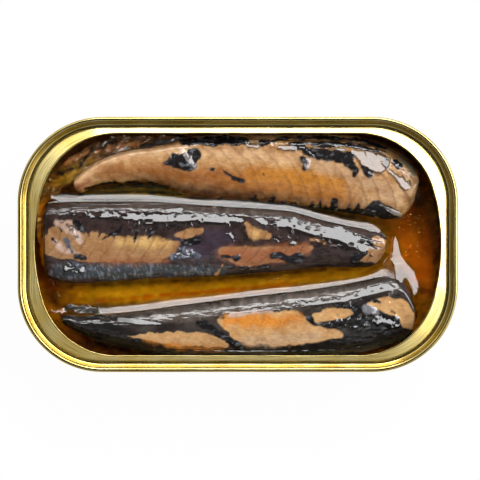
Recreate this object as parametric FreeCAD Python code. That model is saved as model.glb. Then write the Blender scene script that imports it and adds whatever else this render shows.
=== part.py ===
import FreeCAD, Part
import math
import os

# An opened, oblong, two-piece aluminium fish tin with three mackerel fillets in oil.
# Millimetres. +X runs along the tin, +Y across it, +Z up. The origin is the middle of the
# underside, on the plane that the tin stands on. Every solid belongs to one rigid body.

# ---- the tin ------------------------------------------------------------------------------

TIN_LENGTH = 104.5          # over the seam, along X
TIN_WIDTH = 60.6            # over the seam, along Y
TIN_HEIGHT = 24.0           # from the table to the top of the seam
CORNER_RADIUS = 20.3        # of the seam's outside, seen from above

BODY_SHEET = 0.20           # metal of the drawn body
LID_SHEET = 0.20            # metal of the lid
SEAM_GAP = 0.02             # left between the rolled layers
SEAM_HEIGHT = 2.6           # rolled edge, top to bottom
HOOK_END_GAP = 0.4          # left beyond the end of each hook inside the seam
ROLL_FULLNESS = 0.94        # 1 would roll each bend into a full half circle

COUNTERSINK_DEPTH = 2.95    # from the seam's top down to the groove inside it
CHUCK_LEAN = 0.45           # how far the wall above the groove leans inwards
GROOVE_RADIUS = 0.7         # centreline radius of the groove
LEDGE_RISE = 0.63           # from the groove up to the flat of the ledge
LEDGE_SLOPE = 2.0           # horizontal run of that rise
LEDGE_BEND = 1.2            # centreline radius where the rise becomes flat
LEDGE_FLAT = 0.5            # swept past the rise, to join the flat corners of the ledge

LEDGE_WIDTH_SIDE = 2.42     # ledge left by the torn-out panel, along the long sides
LEDGE_WIDTH_END = 2.42      # the same at the middle of each end
OPENING_CORNER = 18.5       # corner radius of the torn opening
OPENING_END_RADIUS = 44.6   # the opening's ends are shallow arcs of this radius

BASE_RADIUS = 2.4           # centreline radius between the wall and the base
STAND_WIDTH = 3.2           # flat ring that the tin stands on
PANEL_RISE = 0.9            # raised middle of the base
PANEL_SLOPE = 1.4           # horizontal run of the step up to it
PANEL_BEND = 0.5            # centreline radius of the step's two bends

# ---- the contents -------------------------------------------------------------------------

HEADSPACE = 4.8             # from the seam's top down to the highest fish
OIL_BELOW_SEAM = 8.2        # from the seam's top down to the oil
SIDE_GAP = 1.0              # between the fish and the tin's long walls
END_GAP = 6.2               # between the fish and the middle of the tin's end walls
SHOULDER_DROP = 4.2         # from a fillet's top down to where it is widest
REST_FLAT = 1.1             # how deep the flat that a fillet rests on cuts into its belly

SECTION_POINTS = 20         # points round one section of a fillet
SECTIONS = 15               # sections along a fillet
BACK_POWER = 2.3            # 2 is an ellipse, more is boxier: above the widest level
BELLY_POWER = 3.6           # the same below it
TIP_SHARE = 0.4             # width left at the very tip, as a share
TIP_DROP = 2.5              # how far the top would fall by the time no width is left

# The room for fish runs from -1 to 1 along X and across Y, and from 0 to 1 in height. Each
# fillet names how much of its length rounds off at each end, and its stations: where along
# the room, its front edge, its back edge and its height.
FILLETS = {
    "fillet_back": {
        "round_tail": 0.12,
        "round_head": 0.20,
        "stations": [
            (-0.89, 0.39, 0.58, 0.91),
            (-0.66, 0.47, 0.76, 0.94),
            (-0.34, 0.42, 0.86, 0.97),
            (0.02, 0.36, 0.91, 0.99),
            (0.50, 0.27, 0.92, 1.00),
            (0.98, 0.15, 0.86, 0.97),
        ],
    },
    "fillet_middle": {
        "round_tail": 0.12,
        "round_head": 0.16,
        "stations": [
            (-1.02, -0.34, 0.35, 0.95),
            (-0.62, -0.35, 0.36, 1.00),
            (-0.10, -0.28, 0.31, 1.00),
            (0.40, -0.23, 0.23, 0.98),
            (0.83, -0.19, 0.13, 0.93),
        ],
    },
    "fillet_front": {
        "round_tail": 0.18,
        "round_head": 0.16,
        "stations": [
            (-0.99, -0.78, -0.46, 0.92),
            (-0.60, -0.93, -0.50, 0.96),
            (-0.10, -0.98, -0.51, 0.99),
            (0.42, -0.98, -0.41, 1.00),
            (0.97, -0.86, -0.27, 0.97),
        ],
    },
}

# ---- sizes that follow --------------------------------------------------------------------

HALF_LENGTH = TIN_LENGTH / 2
HALF_WIDTH = TIN_WIDTH / 2

# Layers of the seam, as distances in from its outside to the middle of each sheet.
LAYER_LID = LID_SHEET / 2
LAYER_BODY_HOOK = LAYER_LID + (LID_SHEET + BODY_SHEET) / 2 + SEAM_GAP
LAYER_LID_HOOK = LAYER_BODY_HOOK + (LID_SHEET + BODY_SHEET) / 2 + SEAM_GAP
LAYER_BODY = LAYER_LID_HOOK + (LID_SHEET + BODY_SHEET) / 2 + SEAM_GAP
LAYER_CHUCK = LAYER_BODY + (LID_SHEET + BODY_SHEET) / 2 + SEAM_GAP

LID_TOP = TIN_HEIGHT - LID_SHEET / 2
BODY_TOP = TIN_HEIGHT - LID_SHEET - SEAM_GAP - BODY_SHEET / 2
SEAM_FOOT = TIN_HEIGHT - SEAM_HEIGHT + LID_SHEET / 2
BODY_HOOK_END = SEAM_FOOT + LID_SHEET / 2 + HOOK_END_GAP
LID_HOOK_END = BODY_TOP - BODY_SHEET / 2 - HOOK_END_GAP
GROOVE_LEVEL = TIN_HEIGHT - COUNTERSINK_DEPTH + LID_SHEET / 2
GROOVE_START = LAYER_CHUCK + CHUCK_LEAN
LEDGE_LEVEL = GROOVE_LEVEL + LEDGE_RISE
LEDGE_TOP_START = GROOVE_START + LEDGE_SLOPE

BASE_LEVEL = BODY_SHEET / 2
PANEL_LEVEL = BASE_LEVEL + PANEL_RISE
STEP_START = LAYER_BODY + BASE_RADIUS + STAND_WIDTH
PANEL_START = STEP_START + PANEL_SLOPE
FLOOR_TOP = PANEL_LEVEL + BODY_SHEET / 2

OPENING_HALF_LENGTH = HALF_LENGTH - GROOVE_START - LEDGE_WIDTH_END
OPENING_HALF_WIDTH = HALF_WIDTH - GROOVE_START - LEDGE_WIDTH_SIDE

ROOM_HALF_LENGTH = HALF_LENGTH - LAYER_BODY - BODY_SHEET / 2 - END_GAP
ROOM_HALF_WIDTH = HALF_WIDTH - LAYER_BODY - BODY_SHEET / 2 - SIDE_GAP
ROOM_HEIGHT = TIN_HEIGHT - HEADSPACE - FLOOR_TOP
OIL_LEVEL = TIN_HEIGHT - OIL_BELOW_SEAM


# ---- outlines seen from above -------------------------------------------------------------

def rounded_rectangle(half_length, half_width, radius, level):
    """A closed wire that starts and ends at the middle of the front side."""
    edges = []
    start = FreeCAD.Vector(0, -half_width, level)
    for side_x, side_y, first_angle in [(1, -1, 270), (1, 1, 0), (-1, 1, 90), (-1, -1, 180)]:
        centre = FreeCAD.Vector(
            side_x * (half_length - radius), side_y * (half_width - radius), level)
        arc_points = []
        for turn in (0, 45, 90):
            angle = math.radians(first_angle + turn)
            arc_points.append(
                centre + FreeCAD.Vector(math.cos(angle), math.sin(angle), 0) * radius)
        edges.append(Part.LineSegment(start, arc_points[0]).toShape())
        edges.append(Part.Arc(*arc_points).toShape())
        start = arc_points[2]
    edges.append(Part.LineSegment(start, FreeCAD.Vector(0, -half_width, level)).toShape())
    return Part.Wire(edges)


def bowed_rectangle(half_length, half_width, corner, end_radius, level):
    """A closed wire: straight long sides, shallow arcs for ends, and tangent corner arcs."""
    end_centre = half_length - end_radius
    corner_y = half_width - corner
    corner_x = end_centre + math.sqrt((end_radius - corner) ** 2 - corner_y ** 2)
    spread = math.atan2(corner_y, corner_x - end_centre)
    quarter = math.pi / 2

    def on_end(angle, side):
        return FreeCAD.Vector(
            side * (end_centre + end_radius * math.cos(angle)),
            end_radius * math.sin(angle),
            level)

    def on_corner(angle, side, up):
        return FreeCAD.Vector(
            side * (corner_x + corner * math.cos(angle)),
            up * (corner_y + corner * math.sin(angle)),
            level)

    edges = []
    for side in (1, -1):
        edges.append(Part.Arc(
            on_end(-spread, side), on_end(0, side), on_end(spread, side)).toShape())
        for up in (1, -1):
            edges.append(Part.Arc(
                on_corner(spread, side, up),
                on_corner((spread + quarter) / 2, side, up),
                on_corner(quarter, side, up)).toShape())
    for up in (1, -1):
        edges.append(Part.LineSegment(
            on_corner(quarter, -1, up), on_corner(quarter, 1, up)).toShape())
    return Part.Wire(Part.__sortEdges__(edges))


def plate(outline, thickness):
    """A flat solid of that outline, its middle plane at the outline's level."""
    solid = Part.Face(outline).extrude(FreeCAD.Vector(0, 0, thickness))
    solid.translate(FreeCAD.Vector(0, 0, -thickness / 2))
    return solid


def plate_inside_seam(inset, level, thickness):
    """A plate whose edge runs at one distance in from the seam's outside."""
    outline = rounded_rectangle(
        HALF_LENGTH - inset, HALF_WIDTH - inset, CORNER_RADIUS - inset, level)
    return plate(outline, thickness)


# ---- sheet metal: a bent centreline given its thickness, then swept round the tin ---------

def turn_at(before, here, after):
    """The signed turn at a corner, positive to the left."""
    first = here - before
    second = after - here
    return math.atan2(first.x * second.y - first.y * second.x, first.dot(second))


def offset_corners(points, distance):
    """The corners of a bent line moved to its left, or to its right if negative."""
    moved = []
    last = len(points) - 1
    for i, point in enumerate(points):
        arriving = points[max(i, 1)] - points[max(i, 1) - 1]
        leaving = points[min(i, last - 1) + 1] - points[min(i, last - 1)]
        arriving.normalize()
        leaving.normalize()
        mitre = FreeCAD.Vector(-arriving.y - leaving.y, arriving.x + leaving.x, 0)
        moved.append(point + mitre * (2 * distance / mitre.dot(mitre)))
    return moved


def rounded_line(points, radii):
    """Lines joined by tangent arcs, with one radius for each inner corner."""
    edges = []
    start = points[0]
    for before, here, after, radius in zip(points, points[1:], points[2:], radii):
        half_turn = abs(turn_at(before, here, after)) / 2
        to_here = (here - before).normalize()
        onward = (after - here).normalize()
        bisector = (onward - to_here).normalize()
        setback = radius * math.tan(half_turn)
        arc_start = here - to_here * setback
        arc_end = here + onward * setback
        arc_middle = here + bisector * (radius / math.cos(half_turn) - radius)
        edges.append(Part.LineSegment(start, arc_start).toShape())
        edges.append(Part.Arc(arc_start, arc_middle, arc_end).toShape())
        start = arc_end
    edges.append(Part.LineSegment(start, points[-1]).toShape())
    return edges


def sheet_section(centreline, radii, thickness):
    """The closed section of a bent sheet, in a plane of (distance inwards, height)."""
    points = [FreeCAD.Vector(inward, height, 0) for inward, height in centreline]
    turns = [turn_at(*corner) for corner in zip(points, points[1:], points[2:])]
    edges = []
    ends = []
    for distance in (thickness / 2, -thickness / 2):
        side = offset_corners(points, distance)
        side_radii = [radius - math.copysign(distance, distance * turn)
                      for radius, turn in zip(radii, turns)]
        edges += rounded_line(side, side_radii)
        ends.append((side[0], side[-1]))
    for here, there in zip(*ends):
        edges.append(Part.LineSegment(here, there).toShape())
    return Part.Wire(Part.__sortEdges__(edges))


def sweep_round_tin(section):
    """The section carried once round the tin: its first axis points in from the seam."""
    section = section.copy()
    section.transformShape(FreeCAD.Matrix(
        0, 0, 1, 0,
        1, 0, 0, -HALF_WIDTH,
        0, 1, 0, 0,
        0, 0, 0, 1))
    path = rounded_rectangle(HALF_LENGTH, HALF_WIDTH, CORNER_RADIUS, 0)
    return path.makePipeShell([section], True, True)


def roll_radius(layer, next_layer):
    """Radius of the two bends that turn a sheet from one layer back along another."""
    return ROLL_FULLNESS * (next_layer - layer) / 2


# ---- pieces -------------------------------------------------------------------------------

def make_body():
    """The drawn body: hook, wall, standing ring and raised panel, all one sheet."""
    panel_edge = PANEL_START + PANEL_SLOPE
    hook_bend = roll_radius(LAYER_BODY_HOOK, LAYER_BODY)
    centreline = [
        (LAYER_BODY_HOOK, BODY_HOOK_END),
        (LAYER_BODY_HOOK, BODY_TOP),
        (LAYER_BODY, BODY_TOP),
        (LAYER_BODY, BASE_LEVEL),
        (STEP_START, BASE_LEVEL),
        (PANEL_START, PANEL_LEVEL),
        (panel_edge, PANEL_LEVEL),
    ]
    radii = [hook_bend, hook_bend, BASE_RADIUS, PANEL_BEND, PANEL_BEND]
    skirt = sweep_round_tin(sheet_section(centreline, radii, BODY_SHEET))
    overlap = (PANEL_START + panel_edge) / 2
    panel = plate_inside_seam(overlap, PANEL_LEVEL, BODY_SHEET)
    return skirt.fuse(panel).removeSplitter()


def make_lid_ring():
    """What is left of the lid: its hook in the seam, the groove inside it and the ledge."""
    ledge_edge = LEDGE_TOP_START + LEDGE_FLAT
    fold = roll_radius(LAYER_LID, LAYER_LID_HOOK)
    top_roll = roll_radius(LAYER_LID, LAYER_CHUCK)
    centreline = [
        (LAYER_LID_HOOK, LID_HOOK_END),
        (LAYER_LID_HOOK, SEAM_FOOT),
        (LAYER_LID, SEAM_FOOT),
        (LAYER_LID, LID_TOP),
        (LAYER_CHUCK, LID_TOP),
        (GROOVE_START, GROOVE_LEVEL),
        (LEDGE_TOP_START, LEDGE_LEVEL),
        (ledge_edge, LEDGE_LEVEL),
    ]
    radii = [fold, fold, top_roll, top_roll, GROOVE_RADIUS, LEDGE_BEND]
    ring = sweep_round_tin(sheet_section(centreline, radii, LID_SHEET))
    panel = plate_inside_seam(LEDGE_TOP_START + LEDGE_FLAT / 2, LEDGE_LEVEL, LID_SHEET)
    torn_out = plate(
        bowed_rectangle(
            OPENING_HALF_LENGTH, OPENING_HALF_WIDTH, OPENING_CORNER, OPENING_END_RADIUS,
            LEDGE_LEVEL),
        2 * COUNTERSINK_DEPTH)
    return ring.fuse(panel).cut(torn_out).removeSplitter()


def interpolated(stations, along):
    """The stations' values at any place along the fillet, on a smooth curve through them."""
    last = len(stations) - 1
    slopes = []
    for i in range(len(stations)):
        before = stations[max(i - 1, 0)]
        after = stations[min(i + 1, last)]
        run = after[0] - before[0]
        slopes.append([(b - a) / run for a, b in zip(before, after)])
    i = max(k for k in range(last) if stations[k][0] <= along or k == 0)
    run = stations[i + 1][0] - stations[i][0]
    t = (along - stations[i][0]) / run
    values = []
    for k in range(1, len(stations[0])):
        values.append(
            (2 * t ** 3 - 3 * t ** 2 + 1) * stations[i][k]
            + (t ** 3 - 2 * t ** 2 + t) * run * slopes[i][k]
            + (3 * t ** 2 - 2 * t ** 3) * stations[i + 1][k]
            + (t ** 3 - t ** 2) * run * slopes[i + 1][k])
    return values


def rounding(distance, reach):
    """Share of the width left at a distance from the tip of an end that rounds off."""
    share = min(max(distance / reach, 0), 1)
    return TIP_SHARE + (1 - TIP_SHARE) * math.sqrt(share * (2 - share))


def fillet_section(x, front, back, top):
    """One closed section: an arched back over a boxier belly that dips below the floor."""
    bottom = FLOOR_TOP - REST_FLAT
    widest_level = top - min(SHOULDER_DROP, (top - bottom) / 2)
    points = []
    for i in range(SECTION_POINTS):
        angle = 2 * math.pi * i / SECTION_POINTS
        above = math.sin(angle) >= 0
        power = 2 / (BACK_POWER if above else BELLY_POWER)
        reach = top - widest_level if above else widest_level - bottom
        across = math.copysign(abs(math.cos(angle)) ** power, math.cos(angle))
        upward = math.copysign(abs(math.sin(angle)) ** power, math.sin(angle))
        points.append(FreeCAD.Vector(
            x,
            (front + back) / 2 + across * (back - front) / 2,
            widest_level + upward * reach))
    curve = Part.BSplineCurve()
    curve.interpolate(Points=points, PeriodicFlag=True)
    return Part.Wire([curve.toShape()])


def make_fillet(shape):
    """A fillet lofted through its sections, with a flat where it rests on the tin's floor."""
    stations = shape["stations"]
    tail = stations[0][0]
    head = stations[-1][0]
    sections = []
    for i in range(SECTIONS):
        along = tail + (head - tail) * (1 - math.cos(math.pi * i / (SECTIONS - 1))) / 2
        front, back, rise = interpolated(stations, along)
        left = (rounding(along - tail, shape["round_tail"])
                * rounding(head - along, shape["round_head"]))
        middle = (front + back) / 2
        half = (back - front) / 2 * left
        sections.append(fillet_section(
            along * ROOM_HALF_LENGTH,
            (middle - half) * ROOM_HALF_WIDTH,
            (middle + half) * ROOM_HALF_WIDTH,
            FLOOR_TOP + rise * ROOM_HEIGHT - TIP_DROP * (1 - left)))
    fish = Part.makeLoft(sections, True, False)
    below_floor = Part.makeBox(
        TIN_LENGTH, TIN_WIDTH, TIN_HEIGHT,
        FreeCAD.Vector(-HALF_LENGTH, -HALF_WIDTH, FLOOR_TOP - TIN_HEIGHT))
    return fish.cut(below_floor)


def make_oil(body, fillets):
    """Oil from the tin's floor up to its level, cut round the fillets."""
    outline = rounded_rectangle(
        HALF_LENGTH - LAYER_BODY, HALF_WIDTH - LAYER_BODY, CORNER_RADIUS - LAYER_BODY, 0)
    block = Part.Face(outline).extrude(FreeCAD.Vector(0, 0, OIL_LEVEL))
    inside_and_under = block.cut([body] + fillets).Solids
    return max(inside_and_under, key=lambda piece: piece.Volume)


def main():
    os.makedirs("parts", exist_ok=True)
    shapes = {name: make_fillet(shape) for name, shape in FILLETS.items()}
    fillets = list(shapes.values())
    shapes["tin_body"] = make_body()
    shapes["lid_ring"] = make_lid_ring()
    shapes["oil"] = make_oil(shapes["tin_body"], fillets)
    for name, shape in shapes.items():
        print(name, len(shape.Solids), "solid, valid", shape.isValid(),
              "volume", round(shape.Volume, 1))
        Part.makeCompound(shape.Solids).exportStep(os.path.join("parts", name + ".step"))


main()
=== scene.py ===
import math
import bpy
import numpy as np
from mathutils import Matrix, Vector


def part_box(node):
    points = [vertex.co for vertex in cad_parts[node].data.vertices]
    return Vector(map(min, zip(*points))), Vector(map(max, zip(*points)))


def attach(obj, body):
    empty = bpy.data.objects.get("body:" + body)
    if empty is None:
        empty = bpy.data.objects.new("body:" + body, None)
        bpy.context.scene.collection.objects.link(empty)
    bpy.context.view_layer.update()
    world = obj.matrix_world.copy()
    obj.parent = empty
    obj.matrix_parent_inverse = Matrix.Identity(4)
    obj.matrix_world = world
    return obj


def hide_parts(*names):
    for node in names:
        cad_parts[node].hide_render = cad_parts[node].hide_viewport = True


# An opened fish tin: three mackerel fillets in amber oil. The CAD frame gives sizes and places;
# shapes here are worked out in millimetres and turned to metres when a mesh is made.

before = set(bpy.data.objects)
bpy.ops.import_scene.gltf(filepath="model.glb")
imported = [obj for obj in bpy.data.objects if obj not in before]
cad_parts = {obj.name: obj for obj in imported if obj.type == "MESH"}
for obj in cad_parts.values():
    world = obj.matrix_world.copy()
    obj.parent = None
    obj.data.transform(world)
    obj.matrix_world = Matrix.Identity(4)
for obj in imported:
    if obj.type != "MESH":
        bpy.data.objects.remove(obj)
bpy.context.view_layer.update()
mm = 0.001
wetPieces = bpy.data.collections.new("wet pieces")     # what the glossy share of the lamps lights
print("frame loaded")


def toLinear(hexColour):
    channels = [int(hexColour[i:i + 2], 16) / 255 for i in (1, 3, 5)]
    return tuple(c / 12.92 if c <= 0.04045 else ((c + 0.055) / 1.055) ** 2.4
                 for c in channels) + (1.0,)


def addNode(tree, kind, inputs=None, ramp=None, **settings):
    # an input takes a value, a socket, or a node, which stands for its first output
    node = tree.nodes.new("ShaderNode" + kind)
    for name, value in settings.items():
        setattr(node, name, value)
    if ramp:
        stops = node.color_ramp.elements
        while len(stops) < len(ramp):
            stops.new(0.5)
        for stop, (place, hexColour) in zip(stops, ramp):
            stop.position = place
            stop.color = toLinear(hexColour)
    for name, value in (inputs or {}).items():
        if isinstance(value, bpy.types.Node):
            value = value.outputs[0]
        if isinstance(value, bpy.types.NodeSocket):
            tree.links.new(value, node.inputs[name])
        else:
            node.inputs[name].default_value = value
    return node


def emptyTree(owner):
    owner.use_nodes = True
    owner.node_tree.nodes.clear()
    return owner.node_tree


def newMaterial(name):
    material = bpy.data.materials.new(name)
    return material, emptyTree(material)


def inMillimetres(tree, stretch=(1, 1, 1), turn=0):
    place = addNode(tree, "TexCoord").outputs["Object"]
    turned = addNode(tree, "Mapping", {"Vector": place, "Rotation": (0, 0, math.radians(turn))})
    return addNode(tree, "Mapping", {"Vector": turned, "Scale": tuple(s / mm for s in stretch)})


def smoothStep(low, high, value):
    t = np.clip((value - low) / (high - low), 0, 1)
    return t * t * (3 - 2 * t)


def softNoise(x, y, size, seed):
    # a random field from -1 to 1 whose humps are about size millimetres across
    table = np.random.default_rng(seed).uniform(-1, 1, (64, 64))
    u, v = x / size, y / size
    column, row = np.floor(u).astype(int), np.floor(v).astype(int)
    fu, fv = smoothStep(0, 1, u - column), smoothStep(0, 1, v - row)
    near = table[column % 64, row % 64] * (1 - fu) + table[(column + 1) % 64, row % 64] * fu
    far = table[column % 64, (row + 1) % 64] * (1 - fu) + table[(column + 1) % 64, (row + 1) % 64] * fu
    return near * (1 - fv) + far * fv


def roughNoise(x, y, size, seed, octaves=4):
    # finer and fainter humps laid over each other, from about -1 to 1
    total = np.zeros(np.shape(x))
    for octave in range(octaves):
        total += softNoise(x + 7.3 * octave, y, size / 2 ** octave, seed + octave) / 2 ** octave
    return total / 1.6


def strokesAlong(x, y, paths):
    # every stroke of paths of (x, y, radius) points: its ends, the share of the way along it that
    # is nearest to each place, the offset from there, and the distance outside the stroke
    for path in paths:
        for start, end in zip(path, path[1:]):
            dx, dy = end[0] - start[0], end[1] - start[1]
            t = np.clip(((x - start[0]) * dx + (y - start[1]) * dy) / (dx * dx + dy * dy + 1e-9), 0, 1)
            offX, offY = x - start[0] - t * dx, y - start[1] - t * dy
            yield start, end, t, offX, offY, np.hypot(offX, offY) - start[2] - (end[2] - start[2]) * t


def pathDistance(x, y, paths):
    # distance outside a set of tapered strokes, negative inside
    nearest = np.full(np.shape(x), 99.0)
    for *_, gap in strokesAlong(x, y, paths):
        nearest = np.minimum(nearest, gap)
    return nearest


def drapeFilm(points, paths, slope, ragged, holes, seed):
    # lays a smooth tilted film along paths: across each stroke the surface keeps one slope
    x, y, z = points[..., 0], points[..., 1], points[..., 2]
    upperX, upperY, upperZ = (part[:, :flesh["topCount"]] for part in (x, y, z))
    nearest, target = np.full(x.shape, 99.0), z.copy()

    def surfaceAt(px, py):
        return upperZ.ravel()[np.argmin((upperX - px) ** 2 + (upperY - py) ** 2)]

    for start, end, t, offX, offY, gap in strokesAlong(x, y, paths):
        level = surfaceAt(*start[:2]) * (1 - t) + surfaceAt(*end[:2]) * t
        target = np.where(gap < nearest, level - slope[0] * offX - slope[1] * offY, target)
        nearest = np.minimum(nearest, gap)
    edge, holeEdge = flesh["filmEdge"], flesh["holeEdge"]
    mask = smoothStep(edge, -edge, nearest + ragged * roughNoise(x, y, 0.9, seed))
    hollow = roughNoise(x * 0.6, y * 1.3, 0.9, seed + 50, 3) - 0.8 + holes
    mask *= 1 - smoothStep(-holeEdge, holeEdge, hollow)
    points[..., 2] = z + (target - z) * mask
    return mask


def smoothCurve(stations, x):
    # every column of the stations, on a smooth curve through them, at each x
    table = np.array(stations, float)
    knots = table[:, 0]
    slopes = np.gradient(table, knots, axis=0)
    i = np.clip(np.searchsorted(knots, x) - 1, 0, len(knots) - 2)
    run = (knots[i + 1] - knots[i])[:, None]
    t = ((x - knots[i])[:, None]) / run
    value = ((2 * t ** 3 - 3 * t ** 2 + 1) * table[i] + (t ** 3 - 2 * t ** 2 + t) * run * slopes[i]
             + (3 * t ** 2 - 2 * t ** 3) * table[i + 1] + (t ** 3 - t ** 2) * run * slopes[i + 1])
    return value.T[1:]


def meshPiece(name, points, faces, material, attributes=None, wet=True):
    mesh = bpy.data.meshes.new(name)
    mesh.from_pydata((np.asarray(points) * mm).tolist(), [], faces)
    mesh.polygons.foreach_set("use_smooth", [True] * len(mesh.polygons))
    for label, values in (attributes or {}).items():
        layer = mesh.attributes.new(label, "FLOAT", "POINT")
        layer.data.foreach_set("value", np.asarray(values, np.float32).ravel())
    mesh.update()
    mesh.validate()
    mesh.materials.append(material)
    piece = bpy.data.objects.new(name, mesh)
    bpy.context.scene.collection.objects.link(piece)
    if wet:
        wetPieces.objects.link(piece)
    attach(piece, "root")
    return piece


def gridFaces(rows, columns, closedRows=False, closedColumns=False):
    i, j = np.meshgrid(np.arange(rows - (not closedRows)), np.arange(columns - (not closedColumns)),
                       indexing="ij")
    below, beside = (i + 1) % rows, (j + 1) % columns
    quads = np.stack([i * columns + j, below * columns + j, below * columns + beside,
                      i * columns + beside], axis=-1)
    return quads.reshape(-1, 4).tolist()


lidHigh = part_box("lid_ring")[1] / mm
tin = {
    "halfLength": lidHigh.x,
    "halfWidth": lidHigh.y,
    "top": lidHigh.z,
    "corner": 20.3,          # outer corner of the seam, seen from above
    "sheet": 0.20,           # metal thickness
    "layerGap": 0.02,        # between the layers of the rolled seam
    "seamHeight": 2.6,
    "hookGap": 0.4,          # left beyond the end of each hook
    "rollFullness": 0.94,
    "countersink": 2.95,     # from the seam's top down to the groove
    "chuckLean": 0.45,
    "grooveRadius": 0.7,
    "ledgeTilt": 17.5,       # degrees, from the groove up to the torn edge
    "ledgeWidth": 2.42,      # from the groove to the torn opening
    "openingCorner": 18.5,
    "openingEnd": 44.6,      # radius of the bowed ends of the opening
    "baseRadius": 2.4,
    "standWidth": 3.2,
    "panelRise": 0.9,
    "panelSlope": 1.4,
    "ledgeStart": 0.9,       # from the middle of the groove to where the ledge has its full slope
    "lipShort": 0.1,         # the sheet ends this far short of the opening, and its burr fills that
    "tearUneven": 0.05,      # the torn edge isn't quite even
    "burr": ((0.14, 0.055), (0.16, 0.05)),   # its bend and its end: past the sheet, then down or up
}

view = {"x": 0.57, "y": 1.07, "height": 650, "width": 113.85, "sensor": 36.0}
softboxes = {
    # degrees from +X towards +Y, then the share of radiance and of gloss
    "boxes": ((-22, 0.14, 1.0), (14, 1.0, 1.0), (50, 1.0, 1.0), (86, 1.0, 1.0), (122, 0.1, 1.0)),
    "overlap": 0.1,              # degrees, so that no dark line shows between two boxes
    "elevation": 47,
    "distance": 900,
    "wide": 600,
    "tall": 400,
    "radiance": 5.6,             # of the face, for everything
    "gloss": 5.4,                # more of it that only the wet pieces mirror
    "nearer": 30,                # how far the shiny part stands in front of the rest
}


def makeCamera():
    camera = bpy.data.objects.new("camera", bpy.data.cameras.new("camera"))
    camera.location = (view["x"] * mm, view["y"] * mm, (tin["top"] + view["height"]) * mm)
    camera.data.sensor_width = view["sensor"]
    camera.data.lens = view["sensor"] * view["height"] / view["width"]
    camera.data.clip_end = 20
    bpy.context.scene.collection.objects.link(camera)
    bpy.context.scene.camera = camera


def shapeFace(lamp, rise, distance):
    # narrows the face towards its upper edge, so that neighbouring boxes meet without overlapping
    first, second = softboxes["boxes"][:2]
    step = math.radians(second[0] - first[0] + softboxes["overlap"])
    lean = softboxes["tall"] / 2 * math.sin(rise)
    near, far = (math.tan(step / 2) * (distance * math.cos(rise) + way * lean) / softboxes["wide"]
                 for way in (-1, 1))
    tree = emptyTree(lamp)
    face = addNode(tree, "NewGeometry").outputs["Parametric"]
    across = addNode(tree, "SeparateXYZ", {0: face}).outputs
    edge = addNode(tree, "MapRange", {"Value": across["Y"], "To Min": far, "To Max": near})
    aside = addNode(tree, "Math", {0: across["X"], 1: 0.5}, operation="SUBTRACT")
    away = addNode(tree, "Math", {0: aside}, operation="ABSOLUTE")
    inside = addNode(tree, "Math", {0: away, 1: edge}, operation="LESS_THAN")
    lit = addNode(tree, "Emission", {"Color": (1, 1, 1, 1), "Strength": inside})
    addNode(tree, "OutputLight", {"Surface": lit})


def makeSoftboxes():
    area = softboxes["wide"] * softboxes["tall"] * mm * mm
    rise = math.radians(softboxes["elevation"])
    for number, (azimuth, *shares) in enumerate(softboxes["boxes"]):
        for use, share in zip(("radiance", "gloss"), shares):
            lamp = bpy.data.lights.new(f"softbox_{use}_{number}", "AREA")
            lamp.shape = "RECTANGLE"
            lamp.size = softboxes["wide"] * mm
            lamp.size_y = softboxes["tall"] * mm
            lamp.energy = softboxes[use] * share * math.pi * area
            distance = softboxes["distance"] - (softboxes["nearer"] if use == "gloss" else 0)
            shapeFace(lamp, rise, distance)
            holder = bpy.data.objects.new(lamp.name, lamp)
            turn = math.radians(azimuth)
            reach = distance * mm
            holder.location = (reach * math.cos(rise) * math.cos(turn),
                               reach * math.cos(rise) * math.sin(turn), reach * math.sin(rise))
            holder.rotation_euler = (math.pi / 2 - rise, 0, turn + math.pi / 2)
            holder.visible_camera = False
            if use == "gloss":
                holder.visible_diffuse = False
                holder.light_linking.receiver_collection = wetPieces
            bpy.context.scene.collection.objects.link(holder)


studio = {
    # the greys around from level to overhead: pale above the lamps, dark on top to keep the oil clear
    "greys": [(0.0, "#6a6c6f"), (0.7, "#808286"), (0.77, "#dcdde0"), (0.85, "#dcdde0"),
              (0.89, "#77787a"), (0.93, "#262728")],
    "strength": (0.8, 1.7),      # away from the lamps and on their side
}


def makeWorld():
    world = bpy.data.worlds.new("dim studio")
    tree = emptyTree(world)
    direction = addNode(tree, "TexCoord").outputs["Generated"]
    height = addNode(tree, "SeparateXYZ", {0: direction}).outputs["Z"]
    grey = addNode(tree, "ValToRGB", {"Fac": height}, ramp=studio["greys"])
    turn = math.radians(softboxes["boxes"][2][0])
    toLamps = (math.cos(turn), math.sin(turn), 0)
    side = addNode(tree, "VectorMath", {0: direction, 1: toLamps}, operation="DOT_PRODUCT").outputs["Value"]
    away, towards = studio["strength"]
    level = addNode(tree, "MapRange", {"Value": side, "From Min": -0.4, "From Max": 0.0, "To Min": away,
                                       "To Max": towards})
    dim = addNode(tree, "Background", {"Color": grey, "Strength": level})
    addNode(tree, "OutputWorld", {"Surface": dim})
    bpy.context.scene.world = world


card = {"colour": "#f4f4f4", "bright": 0.975, "radius": 3000, "sides": 96}


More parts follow.
